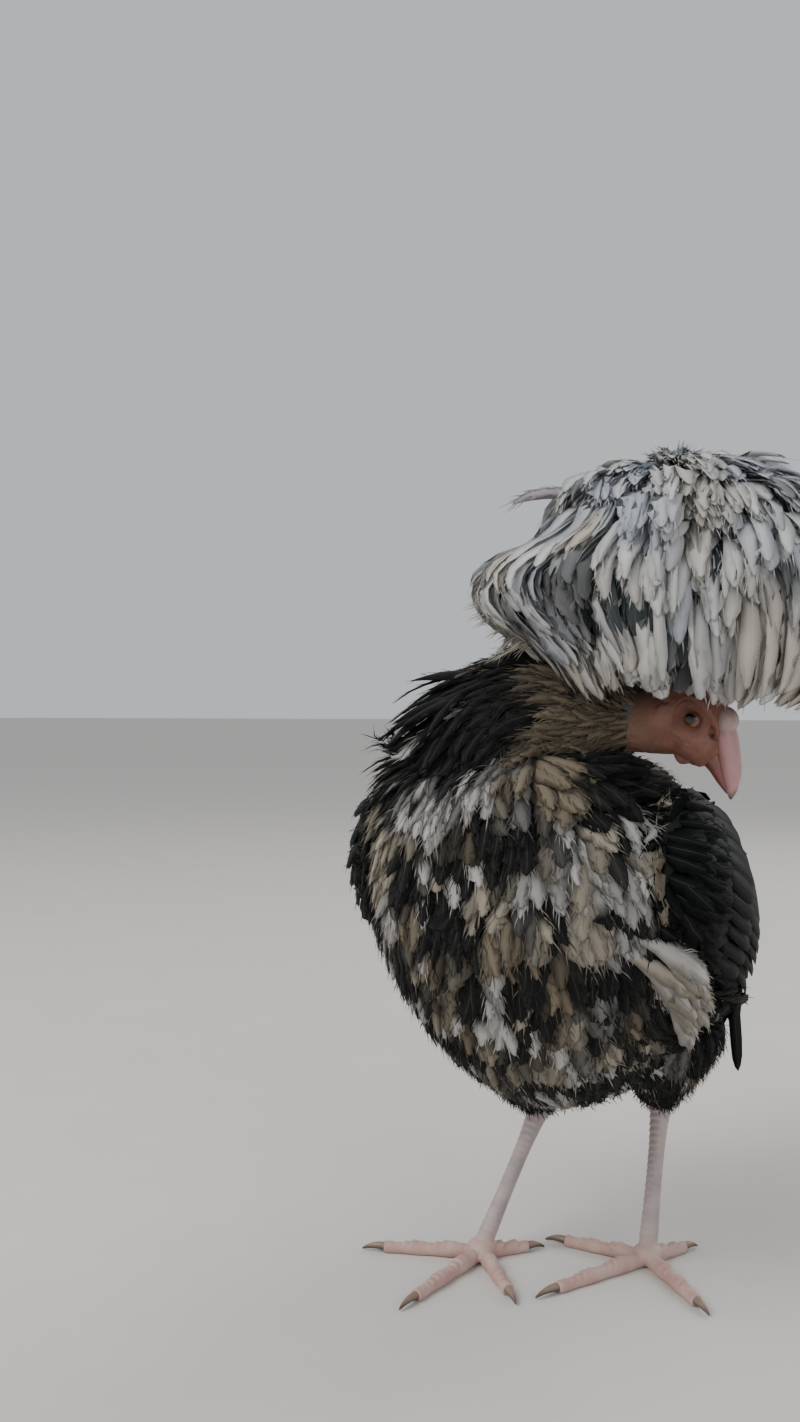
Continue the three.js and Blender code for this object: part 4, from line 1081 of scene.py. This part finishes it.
def body_coat(shell):
    rng = np.random.default_rng(101)
    roots = shell.seeds(["trunk"], lambda point: 4.6 if point[1] < 60 else 5.4, lambda p: p[:, 2] < 300, rng)
    length = 31 - 5 * smoothstep(215, 250, roots[:, 2]) * smoothstep(0, -50, roots[:, 1])
    length = length - 11 * smoothstep(112, 92, roots[:, 2])
    contour = batch(shell, roots, trunk_flow, "soft", body_colours, rng, length=length, width=5.8,
                    depth=COAT_DEPTH, sink=1.2, share=.07, sway=.26, camber=.2, ragged=.26)
    for name, edge in (("coat_breast", True), ("coat_back", False)):
        part = split_up(contour, (contour["path"][:, 0, 1] < -14) == edge)
        barbs = loose_barbs(part, BODY_BARBS, rng)
        feather_object(name, [part, barbs], "feather_soft", ["torso"] if edge else [])
    flank(shell)


def flank(shell):
    """Long pale feathers that lie over the flank below the left wing, and hang past it."""
    rng = np.random.default_rng(104)
    places = places_of("soft")
    paths = []
    for y, z in FLANK_ROOTS:
        root = np.array([y, z]) + rng.uniform(-2, 2, 2)
        yz = root + FLANK_REACH * rng.uniform(.85, 1.1, 2) * places[:, None]
        x = trunk_side(1, yz[:, 0], yz[:, 1]) + mix(0, 7, places) + 6 * places * (1 - places)
        paths.append(np.column_stack([x, yz]))
    path = np.array(paths)
    shade = mix(WHITE, CREAM, rng.uniform(0, 1, (len(path), 1))) * 1.25
    one = dict(path=path, out=np.tile(unit(np.array([.9, -.4, .15])), (len(path), len(places), 1)),
               width=rng.uniform(5.6, 7.6, len(path)), outline="soft", base=shade * .8, tip=shade,
               patch=shell.patch_at(path[:, 0]), camber=.16, ragged=.2, thickness=.35)
    feather_object("coat_flank", [one, loose_barbs(one, 20, rng)], "feather_soft", [])


def thigh_coat(shell):
    rng = np.random.default_rng(102)
    roots = shell.seeds(["thigh_left", "thigh_right"], 3.3, lambda p: p[:, 2] < 128, rng)
    fluff = batch(shell, roots, leg_flow, "soft", body_colours, rng, length=19, width=3.8, depth=5, sink=1,
                  share=.1, sway=.25, camber=.25, ragged=.28)
    feather_object("coat_thighs", [fluff, loose_barbs(fluff, 9, rng)], "feather_soft",
                   ["thigh_left", "thigh_right"])


def hackle_coat(shell):
    rng = np.random.default_rng(103)

    def spacing(point):
        return 2.5 if point[0] > 40 else 3.0 if point[0] > 20 else 3.7

    roots = shell.seeds(["neck", "nape"], spacing, lambda p: p[:, 0] + 3 * waves(p, 6, 14) < 57, rng)
    near_head = smoothstep(15, 62, roots[:, 0])
    ruffle = smoothstep(46, 14, np.linalg.norm(roots - HACKLE_RUFFLE, axis=1))
    depth = mix(6.5, 2.6, near_head) + 12 * ruffle * rng.uniform(.4, 1.4, len(roots))
    coat = batch(shell, roots, neck_flow, "lance", hackle_colours, rng, length=mix(34, 9, near_head),
                 width=mix(4.6, 2.0, near_head), depth=depth, sink=.8, share=.06, sway=.2, camber=.25,
                 ragged=.2)
    barbs = loose_barbs(coat, 8, rng)
    feather_object("coat_hackle", [coat, barbs], "feather_soft", ["neck"])


# Rows of the wing: how many, first and last root, first and last tip, half-width, and how far they stand off
WING_ROWS = [
    (13, ([34, 206], [24, 150]), ([94, 186], [132, 128]), 6.6, (-1.5, 2.6)),
    (7, ([66, 142], [50, 130]), ([146, 122], [128, 106]), 5, (-9, 1.2)),
    (11, ([-2, 230], [-6, 164]), ([48, 208], [44, 142]), 6.4, (-.8, 3.6)),
    (10, ([-28, 238], [-32, 172]), ([12, 224], [6, 156]), 6.4, (-.6, 4.2)),
]


def wing_blades(sign, rng, quills):
    """Feathers on the folded wing: each from a root to a tip on the wing's own surface."""
    places = places_of("flight")
    plans = []
    for count, roots, tips, half, stand in WING_ROWS:
        for f in np.arange(count) / (count - 1):
            root = mix(*roots, f) + rng.uniform(-1, 1, 2)
            tip = mix(*tips, f) + rng.uniform(-2.2, 2.2, 2)
            plans.append((root, tip, half, stand))
    paths, outs = [], []
    for root, tip, _, stand in plans + quills:
        reach = np.subtract(tip, root)
        bow = unit(np.array([[-reach[1], reach[0]]]))[0] * np.linalg.norm(reach) * .03
        yz = root + reach * places[:, None] + bow * (4 * places * (1 - places))[:, None]
        y, z = yz[:, 0], yz[:, 1]
        x = wing_x(sign, y, z) + wing_lift(y, z) + mix(stand[0], stand[1], np.sqrt(places))
        paths.append(np.stack([sign * x, y, z], 1))
        along = unit(np.gradient(paths[-1], axis=0))
        out = np.tile([sign, 0, .12], (len(places), 1))
        outs.append(unit(out - along * np.sum(out * along, 1, keepdims=True)))
    return np.array(paths), np.array(outs), np.array([half for _, _, half, _ in plans + quills], float)


def wing_coat(shell, side, sign):
    """Rows of flight feathers, small ones over the wing's front and a soft edge before it."""
    rng = np.random.default_rng(110 + sign)
    quills = [([34, 150], [66, 92], 3.4, (-1, 2.5))] if sign > 0 else []
    path, out, width = wing_blades(sign, rng, quills)
    if quills:
        out[-1] = unit(out[-1] + [-.3, -.9, 0])
    black = steady(WING_BLACK)(path)
    flight = dict(path=path, out=out, width=width, outline="flight", base=black, tip=black,
                  patch=shell.patch_at(path[:, 0]), camber=.09, thickness=.4, ragged=.05, vary=.25)

    def on_front(points):
        return (points[:, 1] < 4) & (sign * points[:, 0] > 20)

    def at_edge(points):
        x, y, z = points.T
        return (np.abs(y + 66) < 10) & (sign * x > 48) & (np.abs(z - 215) < 36)

    small = shell.seeds([f"wing_{side}"], 4.2, on_front, rng)
    lesser = batch(shell, small, steady([0, 1, -.42]), "round", wing_colours, rng, length=23, width=5.0,
                   depth=3.6, sink=1, share=0, camber=.1, ragged=.12)
    front = shell.seeds(["trunk", f"wing_{side}"], 4.4, at_edge, rng)
    edge = batch(shell, front, steady([0, 1, -.5]), "soft", wing_colours, rng, length=25, width=5.2,
                 depth=6, sink=1, share=0, camber=.14, ragged=.2)
    feather_object(f"coat_wing_{side}", [flight, lesser, edge, loose_barbs(edge, 6, rng)], "feather_gloss_painted_sheen",
                   [f"wing_{side}"])


# Rows of the tail: how many a side; first root and first tip, with the step aside and down to the next;
# half-width, and how much shorter the next one is
TAIL_ROWS = [
    (6, (3, 116, 177, 1.5, 2.0), (5, 208, 203, 5.2, 8.0), 9.5, 2.6),
    (5, (6, 106, 186, 3.5, 3.4), (6, 172, 202, 7.5, 8.5), 8.0, 3),
    (5, (6, 98, 192, 4.5, 4.4), (7, 146, 198, 8.0, 8.5), 7.5, 4),
]


def tail_coat(shell):
    """Three rows of tail feathers on each side, and small ones over the stub."""
    rng = np.random.default_rng(120)
    places = places_of("flight")
    paths, outs, widths = [], [], []
    for count, start, tip, half, shorter in TAIL_ROWS:
        for sign in (1, -1):
            for i in range(count):
                a = np.array([sign * (start[0] + start[3] * i), start[1], start[2] - start[4] * i])
                b = np.array([sign * (tip[0] + tip[3] * i), tip[1] - shorter * i, tip[2] - tip[4] * i])
                b = b + rng.uniform(-1.5, 1.5, 3)
                face = np.array([sign * (.5 + .11 * i), -.2, .8 - .1 * i])
                along = unit(b - a)
                out = unit(face - along * face.dot(along))
                bow = out * (5 * places * (1 - places) - 1.2 * i * places)[:, None]
                paths.append(a + (b - a) * places[:, None] + bow)
                outs.append(np.tile(out, (len(places), 1)))
                widths.append(half)
    path = np.array(paths)
    black = steady(BLACK)(path)
    main = dict(path=path, out=np.array(outs), width=np.array(widths, float), outline="flight", base=black,
                tip=black, patch=shell.patch_at(path[:, 0]), camber=.16, thickness=.5, ragged=.05, vary=.25)
    roots = shell.seeds(["tail"], 4.6, lambda p: p[:, 1] > 100, rng)
    small = batch(shell, roots, steady([0, 1, .12]), "round", wing_colours, rng, length=24, width=5.6,
                  depth=3.4, sink=1, share=.05, camber=.2, ragged=.1)
    feather_object("coat_tail", [main, small], "feather_gloss_painted_sheen", ["tail"])


crest_sweep = spline(*CREST_SWEEP)


def crest_point(polar, azimuth, reach):
    low = np.maximum(0, polar - 90) / 50
    spread = reach * np.where(polar < 90, np.sin(np.radians(polar)), 1 - CREST_BELL * low * low)
    return CREST_CENTRE + CREST_SIZE * np.stack(
        [spread * np.cos(azimuth), spread * np.sin(azimuth), reach * np.cos(np.radians(polar))], -1)


def crest_paths(polar, azimuth, reach, rise, places, rng):
    """Up out of the core, then over and down along the globe."""
    aim = np.radians(.5 * np.abs(polar))
    start = np.stack([np.sin(aim) * np.cos(azimuth), np.sin(aim) * np.sin(azimuth), np.cos(aim)], -1)
    root = CREST_CORE[0] + start * (CREST_CORE[1] - 3) * .96
    second = mix(root, crest_point(rise * polar, azimuth, reach), .66)
    third = crest_point((1 + rise) / 2 * polar, azimuth, .97 * reach)
    tip = crest_point(polar, azimuth, reach)
    knots = np.stack([root, second, third, tip], 0)
    line = spline([0, .33, .7, 1], knots.reshape(4, -1))(places).reshape(len(places), -1, 3)
    path = np.swapaxes(line, 0, 1)
    along = unit(np.gradient(path, axis=1))
    level = np.stack([-np.sin(azimuth), np.cos(azimuth), 0 * azimuth], -1)[:, None]
    out = unit(np.cross(level, along))
    roll = rng.normal(size=(len(polar), 1, 1)) * .3
    return path, unit(out + level * roll), root


def crest_shape(points):
    """The crest as it stands in the photo: notched high on one side, swept out lower down."""
    gap = points - CREST_CENTRE
    aside = gap @ CREST_ASIDE / CREST_SIZE[0]
    height = gap[..., 2] / CREST_SIZE[2]
    low = np.maximum(0, np.degrees(np.arccos(np.clip(height, -1, 1))) - 90) / 50
    spread = np.where(height > 0, np.sqrt(np.maximum(.02, 1 - height * height)), 1 - CREST_BELL * low * low)
    part = smoothstep(.1, .7, aside / spread)
    facing = unit(gap * [1, 1, 0]) @ np.array([.74, -.67, 0])
    drop = CREST_LOBE_DROP * smoothstep(.62, .97, facing) * smoothstep(-.25, -.75, height)
    return (points + CREST_ASIDE * (CREST_SIZE[0] * aside * (crest_sweep(height) - 1) * part)[..., None]
            - drop[..., None] * [0, 0, 1])


def loose_barbs(one, count, rng):
    """Barbs that stand off both edges of each feather, up to its tip, count to a feather."""
    places, wide = np.array(OUTLINES[one["outline"]]).T
    feathers = len(one["path"])
    which = np.repeat(np.arange(feathers), count)
    t = np.tile(mix(.36, .97, (np.arange(count) + .5) / count), feathers)
    t = t + rng.uniform(-.025, .025, feathers * count)
    k = np.clip(np.searchsorted(places, t) - 1, 0, len(places) - 2)
    f = ((t - places[k]) / (places[k + 1] - places[k]))[:, None]
    before, after = one["path"][which, k], one["path"][which, k + 1]
    along = unit(after - before)
    out = one["out"][which, k]
    side = unit(np.cross(along, out)) * np.where(np.arange(len(which)) % 2, 1, -1)[:, None]
    half = one["width"][which] * np.interp(t, places, wide)
    start = mix(before, after, f) + side * (.45 * half)[:, None]
    slant = (rng.uniform(.2, .75, len(which)) * (1.15 - .75 * t))[:, None]
    lift = rng.uniform(-.1, .26, (len(which), 1))
    length = rng.uniform(4.5, 10, (len(which), 1))
    way = unit(along + side * slant + out * lift)
    middle = start + way * length * .55
    tip = middle + unit(way + along * .5 + [0, 0, -.16]) * length * .45
    colours = one["tip"][which]
    return dict(path=np.stack([start, middle, tip], 1), out=np.repeat(out[:, None], 3, 1),
                width=rng.uniform(.2, .36, len(which)), outline="barb", base=colours, tip=colours,
                patch=one["patch"][which], camber=.1, ragged=.05, thickness=.12, vary=.1)


def crest_plumes(shell, rng, count, reaches, widths):
    """Plumes that rise from the core and fall over the globe, drawn together in locks."""
    lock_polar = np.degrees(np.arccos(rng.uniform(-.95, .995, CREST_LOCKS)))
    lock_at = crest_point(lock_polar, rng.uniform(0, 2 * math.pi, CREST_LOCKS), 1)
    places = places_of("puff")
    polar = np.degrees(np.arccos(rng.uniform(-.95, .995, count)))
    azimuth = rng.uniform(0, 2 * math.pi, count)
    around = np.stack([3 * np.cos(azimuth), 3 * np.sin(azimuth), polar / 20], -1)
    reach = rng.uniform(*reaches, count) * (1 + .05 * waves(around, 1, 61))
    tip = crest_point(polar, azimuth, reach)
    near = np.linalg.norm(tip[:, None] - lock_at[None], axis=2).argmin(1)
    pull = lock_at[near] * .985 + CREST_CENTRE * .015 - tip
    rise = np.clip(.2 + .005 * polar, .2, .7)
    path, out, root = crest_paths(polar, azimuth, reach, rise, places, rng)
    wave = rng.normal(size=(count, 1, 3)) * 1.3
    sweep = 6 * np.stack([waves(tip, 38, 62 + k) for k in range(3)], -1)[:, None]
    path = path + (wave + .42 * pull[:, None]) * (places ** 1.6)[None, :, None]
    path = crest_shape(path + sweep * places[None, :, None])
    colours = crest_colours(path[:, int(.75 * len(places))])
    pale = smoothstep(.1, .35, colours.mean(1))[:, None]
    # plume bases painted lighter, against the shade deep in the crest
    return dict(path=path, out=out, width=rng.uniform(*widths, count), outline="puff", tip=colours,
                base=mix(colours, CREST_PAINTED_LIGHT, .6 * pale), patch=shell.patch_at(root), camber=.26, ragged=.24,
                fade=(.3, .75), vary=.08)


def crest_tip_locks(shell, rng):
    """Pointed locks that stand out past the crest's lower left edge."""
    places = places_of("lance")
    paths, outs, widths = [], [], []
    for x, y, z, back in CREST_TIPS:
        tip = np.array([x, y, z])
        for _ in range(9):
            root = tip + [44, 22, back] + rng.normal(size=3) * [5, 5, 4]
            bend = mix(root, tip, .55) + [0, 0, 5] + rng.normal(size=3) * 2.4
            end = tip + rng.normal(size=3) * [2, 2, 1.2] + (root - tip) * rng.uniform(0, .25)
            line = spline([0, .5, 1], np.array([root, bend, end]))(places)
            paths.append(line)
            along = unit(np.gradient(line, axis=0))
            face = np.array([-.4, -.8, .5]) + rng.normal(size=3) * .3
            outs.append(unit(face - along * (along @ face)[:, None]))
            widths.append(rng.uniform(1.5, 2.8))
    path = np.array(paths)
    tint = steady(CREST_WARM)(path) * rng.uniform(.6, 1.05, (len(path), 1))
    return dict(path=path, out=np.array(outs), width=np.array(widths), outline="lance", base=tint, tip=tint,
                patch=shell.patch_at(path[:, 0]), camber=.2, ragged=.25, thickness=.3)


def crest_coat(shell):
    """Outer plumes with their barbs, a layer under them painted lighter against the shade between plumes, and
    one feather that sticks out.
    """
    rng = np.random.default_rng(130)
    outer = crest_plumes(shell, rng, OUTER_PLUMES, reaches=(.84, .965), widths=(2.4, 4.6))
    locks = crest_tip_locks(shell, rng)
    feather_object("crest_plumes", [outer, locks], "feather_down", ["crest"])
    barbs = loose_barbs(outer, CREST_BARBS, rng)
    plume = np.arange(len(barbs["path"])) // CREST_BARBS
    for k, letter in enumerate("abc"):
        third = split_up(barbs, plume % 3 == k)
        feather_object(f"crest_barbs_{letter}", [third], "feather_down", [])
    under = crest_plumes(shell, rng, UNDER_PLUMES, reaches=(.68, .85), widths=(4.0, 6.4))
    # the under layer's tips painted lighter as well, against the shade between plumes
    under["tip"] = mix(under["tip"], CREST_PAINTED_LIGHT, .7 * smoothstep(.1, .35, under["tip"].mean(1))[:, None])
    lock_barbs = loose_barbs(locks, 16, rng)
    feather_object("crest_under", [under, lock_barbs], "feather_down", [])
    places = places_of("plume")
    path = spline(np.linspace(0, 1, 5), LONE_FEATHER)(places)[None]
    lilac = np.array([LILAC])
    one = dict(path=path, out=np.tile([.4, -.7, .6], (1, len(places), 1)), width=np.array([4.2]),
               outline="plume", base=lilac, tip=lilac, patch=shell.patch_at(path[:, 0]), camber=.2,
               ragged=.12, thickness=.4)
    barbs = loose_barbs(one, 30, rng)
    feather_object("crest_lone_feather", [one, barbs], "feather_down", [])


# ---------------------------------------------------------------- eyes, bill, comb and claws

def eyes():
    """Balls with a raised middle, coloured from the pupil outward."""
    pieces = []
    for side, sign in (("left", 1), ("right", -1)):
        angle = np.linspace(.01, math.pi - .01, 60)
        bulge = EYE["radius"] + .55 * smoothstep(.85, .2, angle)
        centres = np.array([sign * EYE["x"], EYE["y"], EYE["z"]]) + np.stack(
            [sign * bulge * np.cos(angle), 0 * angle, 0 * angle], 1)
        wide = (bulge * np.sin(angle))[:, None]
        points, faces = loft(ring(centres, wide * [0, 1, 0], wide * [0, 0, 1.0], 64))
        colour = PUPIL
        for tint, begin, end in EYE_RINGS:
            colour = mix(colour, tint, smoothstep(begin, end, np.repeat(angle, 64)[:, None]))
        mesh = make_mesh(f"eye_{side}", head_to_body(points), faces)
        pieces.append((dressed(f"eyeball_{side}", mesh, colour, "eye"), "eye", [f"eye_{side}"]))
    return pieces


def horn_piece(name, parts, voxel, colour, material, slot_name, replaced, carve=None, head=True):
    """One hard piece, with its slot's name and the nodes it stands for."""
    points, faces = fused(name, parts, voxel * HORN_COARSE, smooth=2)
    if carve:
        points = carve(points, faces)
    mesh = make_mesh(name, head_to_body(points) if head else points, faces)
    return dressed(name, mesh, colour(points), material), slot_name, replaced


def nostril_gap(points):
    """How far each point lies from the slit of a nostril, as a share of the slit's size."""
    gap = mirrored(points) - NOSTRIL
    run = gap[:, 1] * -.95 + gap[:, 2] * .3
    over = gap[:, 1] * .3 + gap[:, 2] * .95
    return np.sqrt((gap[:, 0] / 3) ** 2 + (run / 3.6) ** 2 + (over / 1.5) ** 2)


def nostril_cut(points, faces):
    depth = 1.7 * np.clip(1 - nostril_gap(points) ** 2, 0, 1)
    return points - normals_of(points, faces) * depth[:, None]


def bill_colours(points):
    knob = smoothstep(9, 6, np.linalg.norm((points - KNOB * [0, 1, 1]) * [.75, 1, 1], axis=1))[:, None]
    colour = mix(BILL_PINK, KNOB_PINK, knob)
    colour = mix(colour, BILL_TIP, smoothstep(-33.5, -37.5, points[:, 1])[:, None])
    # painted shade in the nostril slit
    return mix(colour, NOSTRIL_PAINTED_SHADE_BLACK, smoothstep(1.15, .6, nostril_gap(points))[:, None])


def lower_bill_colours(points):
    # painted shade over the lower bill, darkening to its tip
    return mix(LOWER_BILL_PAINTED_SHADE, LOWER_TIP, smoothstep(-29, -35, points[:, 1])[:, None])


def claw_colours(points):
    return mix(CLAW_DARK, CLAW_PALE, smoothstep(2, 4.5, points[:, 2])[:, None])


def hard_pieces():
    """Both halves of the bill, the comb's horns and the claws."""
    upper = loft(sections(UPPER_BILL, [(-37.6, -9.2), None], 28, 24))
    lower = loft(sections(LOWER_BILL, [(-34.8, -8.9), None], 24, 18))
    lobes = [ball(KNOB * [sign, 1, 1], [5.4, 6.6, 6.2]) for sign in (1, -1)]
    horns = [bar([[sign * 2.6, 2, 16.5], [sign * 3.2, 3, 18.2], [sign * 3.8, 4, 19.6]], [2.2, 1.8, .7])
             for sign in (1, -1)]
    comb = [*horns, ball([0, 1, 16], [4.3, 3.2, 3])]
    claws = [claw_form(leg, toe) for leg in LEGS.values() for toe in leg["toes"]]
    names = [f"claw_{toe}_{side}" for side in LEGS for toe in TOE_NAMES]
    return [
        horn_piece("bill_top", [upper, *lobes], .45, bill_colours, "bill", "bill", ["bill_upper"],
                   nostril_cut),
        horn_piece("bill_bottom", [lower], .45, lower_bill_colours, "bill", "bill", ["bill_lower"]),
        horn_piece("comb_horns", comb, .5, steady(COMB_RED), "face", "comb_skin", ["comb"]),
        horn_piece("claws", claws, .4, claw_colours, "horn", "claw", names, head=False),
    ]


# ---------------------------------------------------------------- stage

# Where the camera stands, in the drawing's millimetres, and its lens for a picture 36 mm high
CAMERA_AT = [254.5, -635.4, 285]
CAMERA_TURN = 28.8
CAMERA_LENS = 33.14
FLOOR_SIDE = 80


def stage():
    """A pale floor, an even studio light and the camera at the photo's angle."""
    mesh = bpy.data.meshes.new("floor")
    corners = [(x * FLOOR_SIDE / 2, y * FLOOR_SIDE / 2, 0) for x, y in ((-1, -1), (1, -1), (1, 1), (-1, 1))]
    mesh.from_pydata(corners, [], [(0, 1, 2, 3)])
    floor = show("floor", mesh)
    n = Nodes("floor")
    grain = n.noise(14, 6, .6)
    n.shader(Base_Color=n.mixed(grain, (.60, .575, .54, 1), (.66, .635, .60, 1)), Roughness=.75)
    floor.data.materials.append(n.material)
    world = bpy.data.worlds.new("studio")
    bpy.context.scene.world = world
    world.use_nodes = True
    background = world.node_tree.nodes["Background"]
    background.inputs["Color"].default_value = (.74, .76, .79, 1)
    background.inputs["Strength"].default_value = .8
    for name, at, aim, size, power, colour in (
            ("key", (-1.1, -1.5, 1.9), (0, 0, .2), 1.6, 44, (1, .985, .96)),
            ("fill", (1.8, -1.2, 1.0), (0, 0, .22), 1.6, 12, (.93, .96, 1)),
            ("rim", (.6, 1.7, 1.6), (0, 0, .25), 1.4, 18, (1, 1, 1))):
        light = bpy.data.lights.new(name, "AREA")
        light.size = size
        light.energy = power
        light.color = colour
        lamp = bpy.data.objects.new(name, light)
        lamp.location = at
        lamp.rotation_euler = (Vector(aim) - Vector(at)).to_track_quat("-Z", "Y").to_euler()
        bpy.context.scene.collection.objects.link(lamp)
    lens = bpy.data.cameras.new("camera")
    lens.lens = CAMERA_LENS
    lens.sensor_width = 36
    lens.clip_start = .01
    camera = bpy.data.objects.new("camera", lens)
    camera.location = metres([CAMERA_AT])[0]
    camera.rotation_euler = (math.radians(90), 0, math.radians(CAMERA_TURN))
    bpy.context.scene.collection.objects.link(camera)
    bpy.context.scene.camera = camera


# ---------------------------------------------------------------- the hen

skin_materials()
feather_material("feather_soft", .85, .04)
feather_material("feather_down", .92, .2, barbs=320.0, contrast=.08)
# black wing and tail feathers, with a painted green sheen
feather_material("feather_gloss_painted_sheen", .5, .0, painted_green_sheen=(.0, .002, .0012), contrast=.3)
horn_material("bill", .38)
horn_material("horn", .45)
stage()

skin, body, patches = build_skin()
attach(skin, "root")
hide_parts("head", "shank_left", "shank_right",
            *[f"toe_{toe}_{side}" for side in LEGS for toe in TOE_NAMES])
for piece, slot_name, replaced in [*eyes(), *hard_pieces()]:
    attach(piece, "root")
    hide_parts(*replaced)

shell = Shell(body, patches)
body_coat(shell)
thigh_coat(shell)
hackle_coat(shell)
wing_coat(shell, "left", 1)
wing_coat(shell, "right", -1)
tail_coat(shell)
crest_coat(shell)
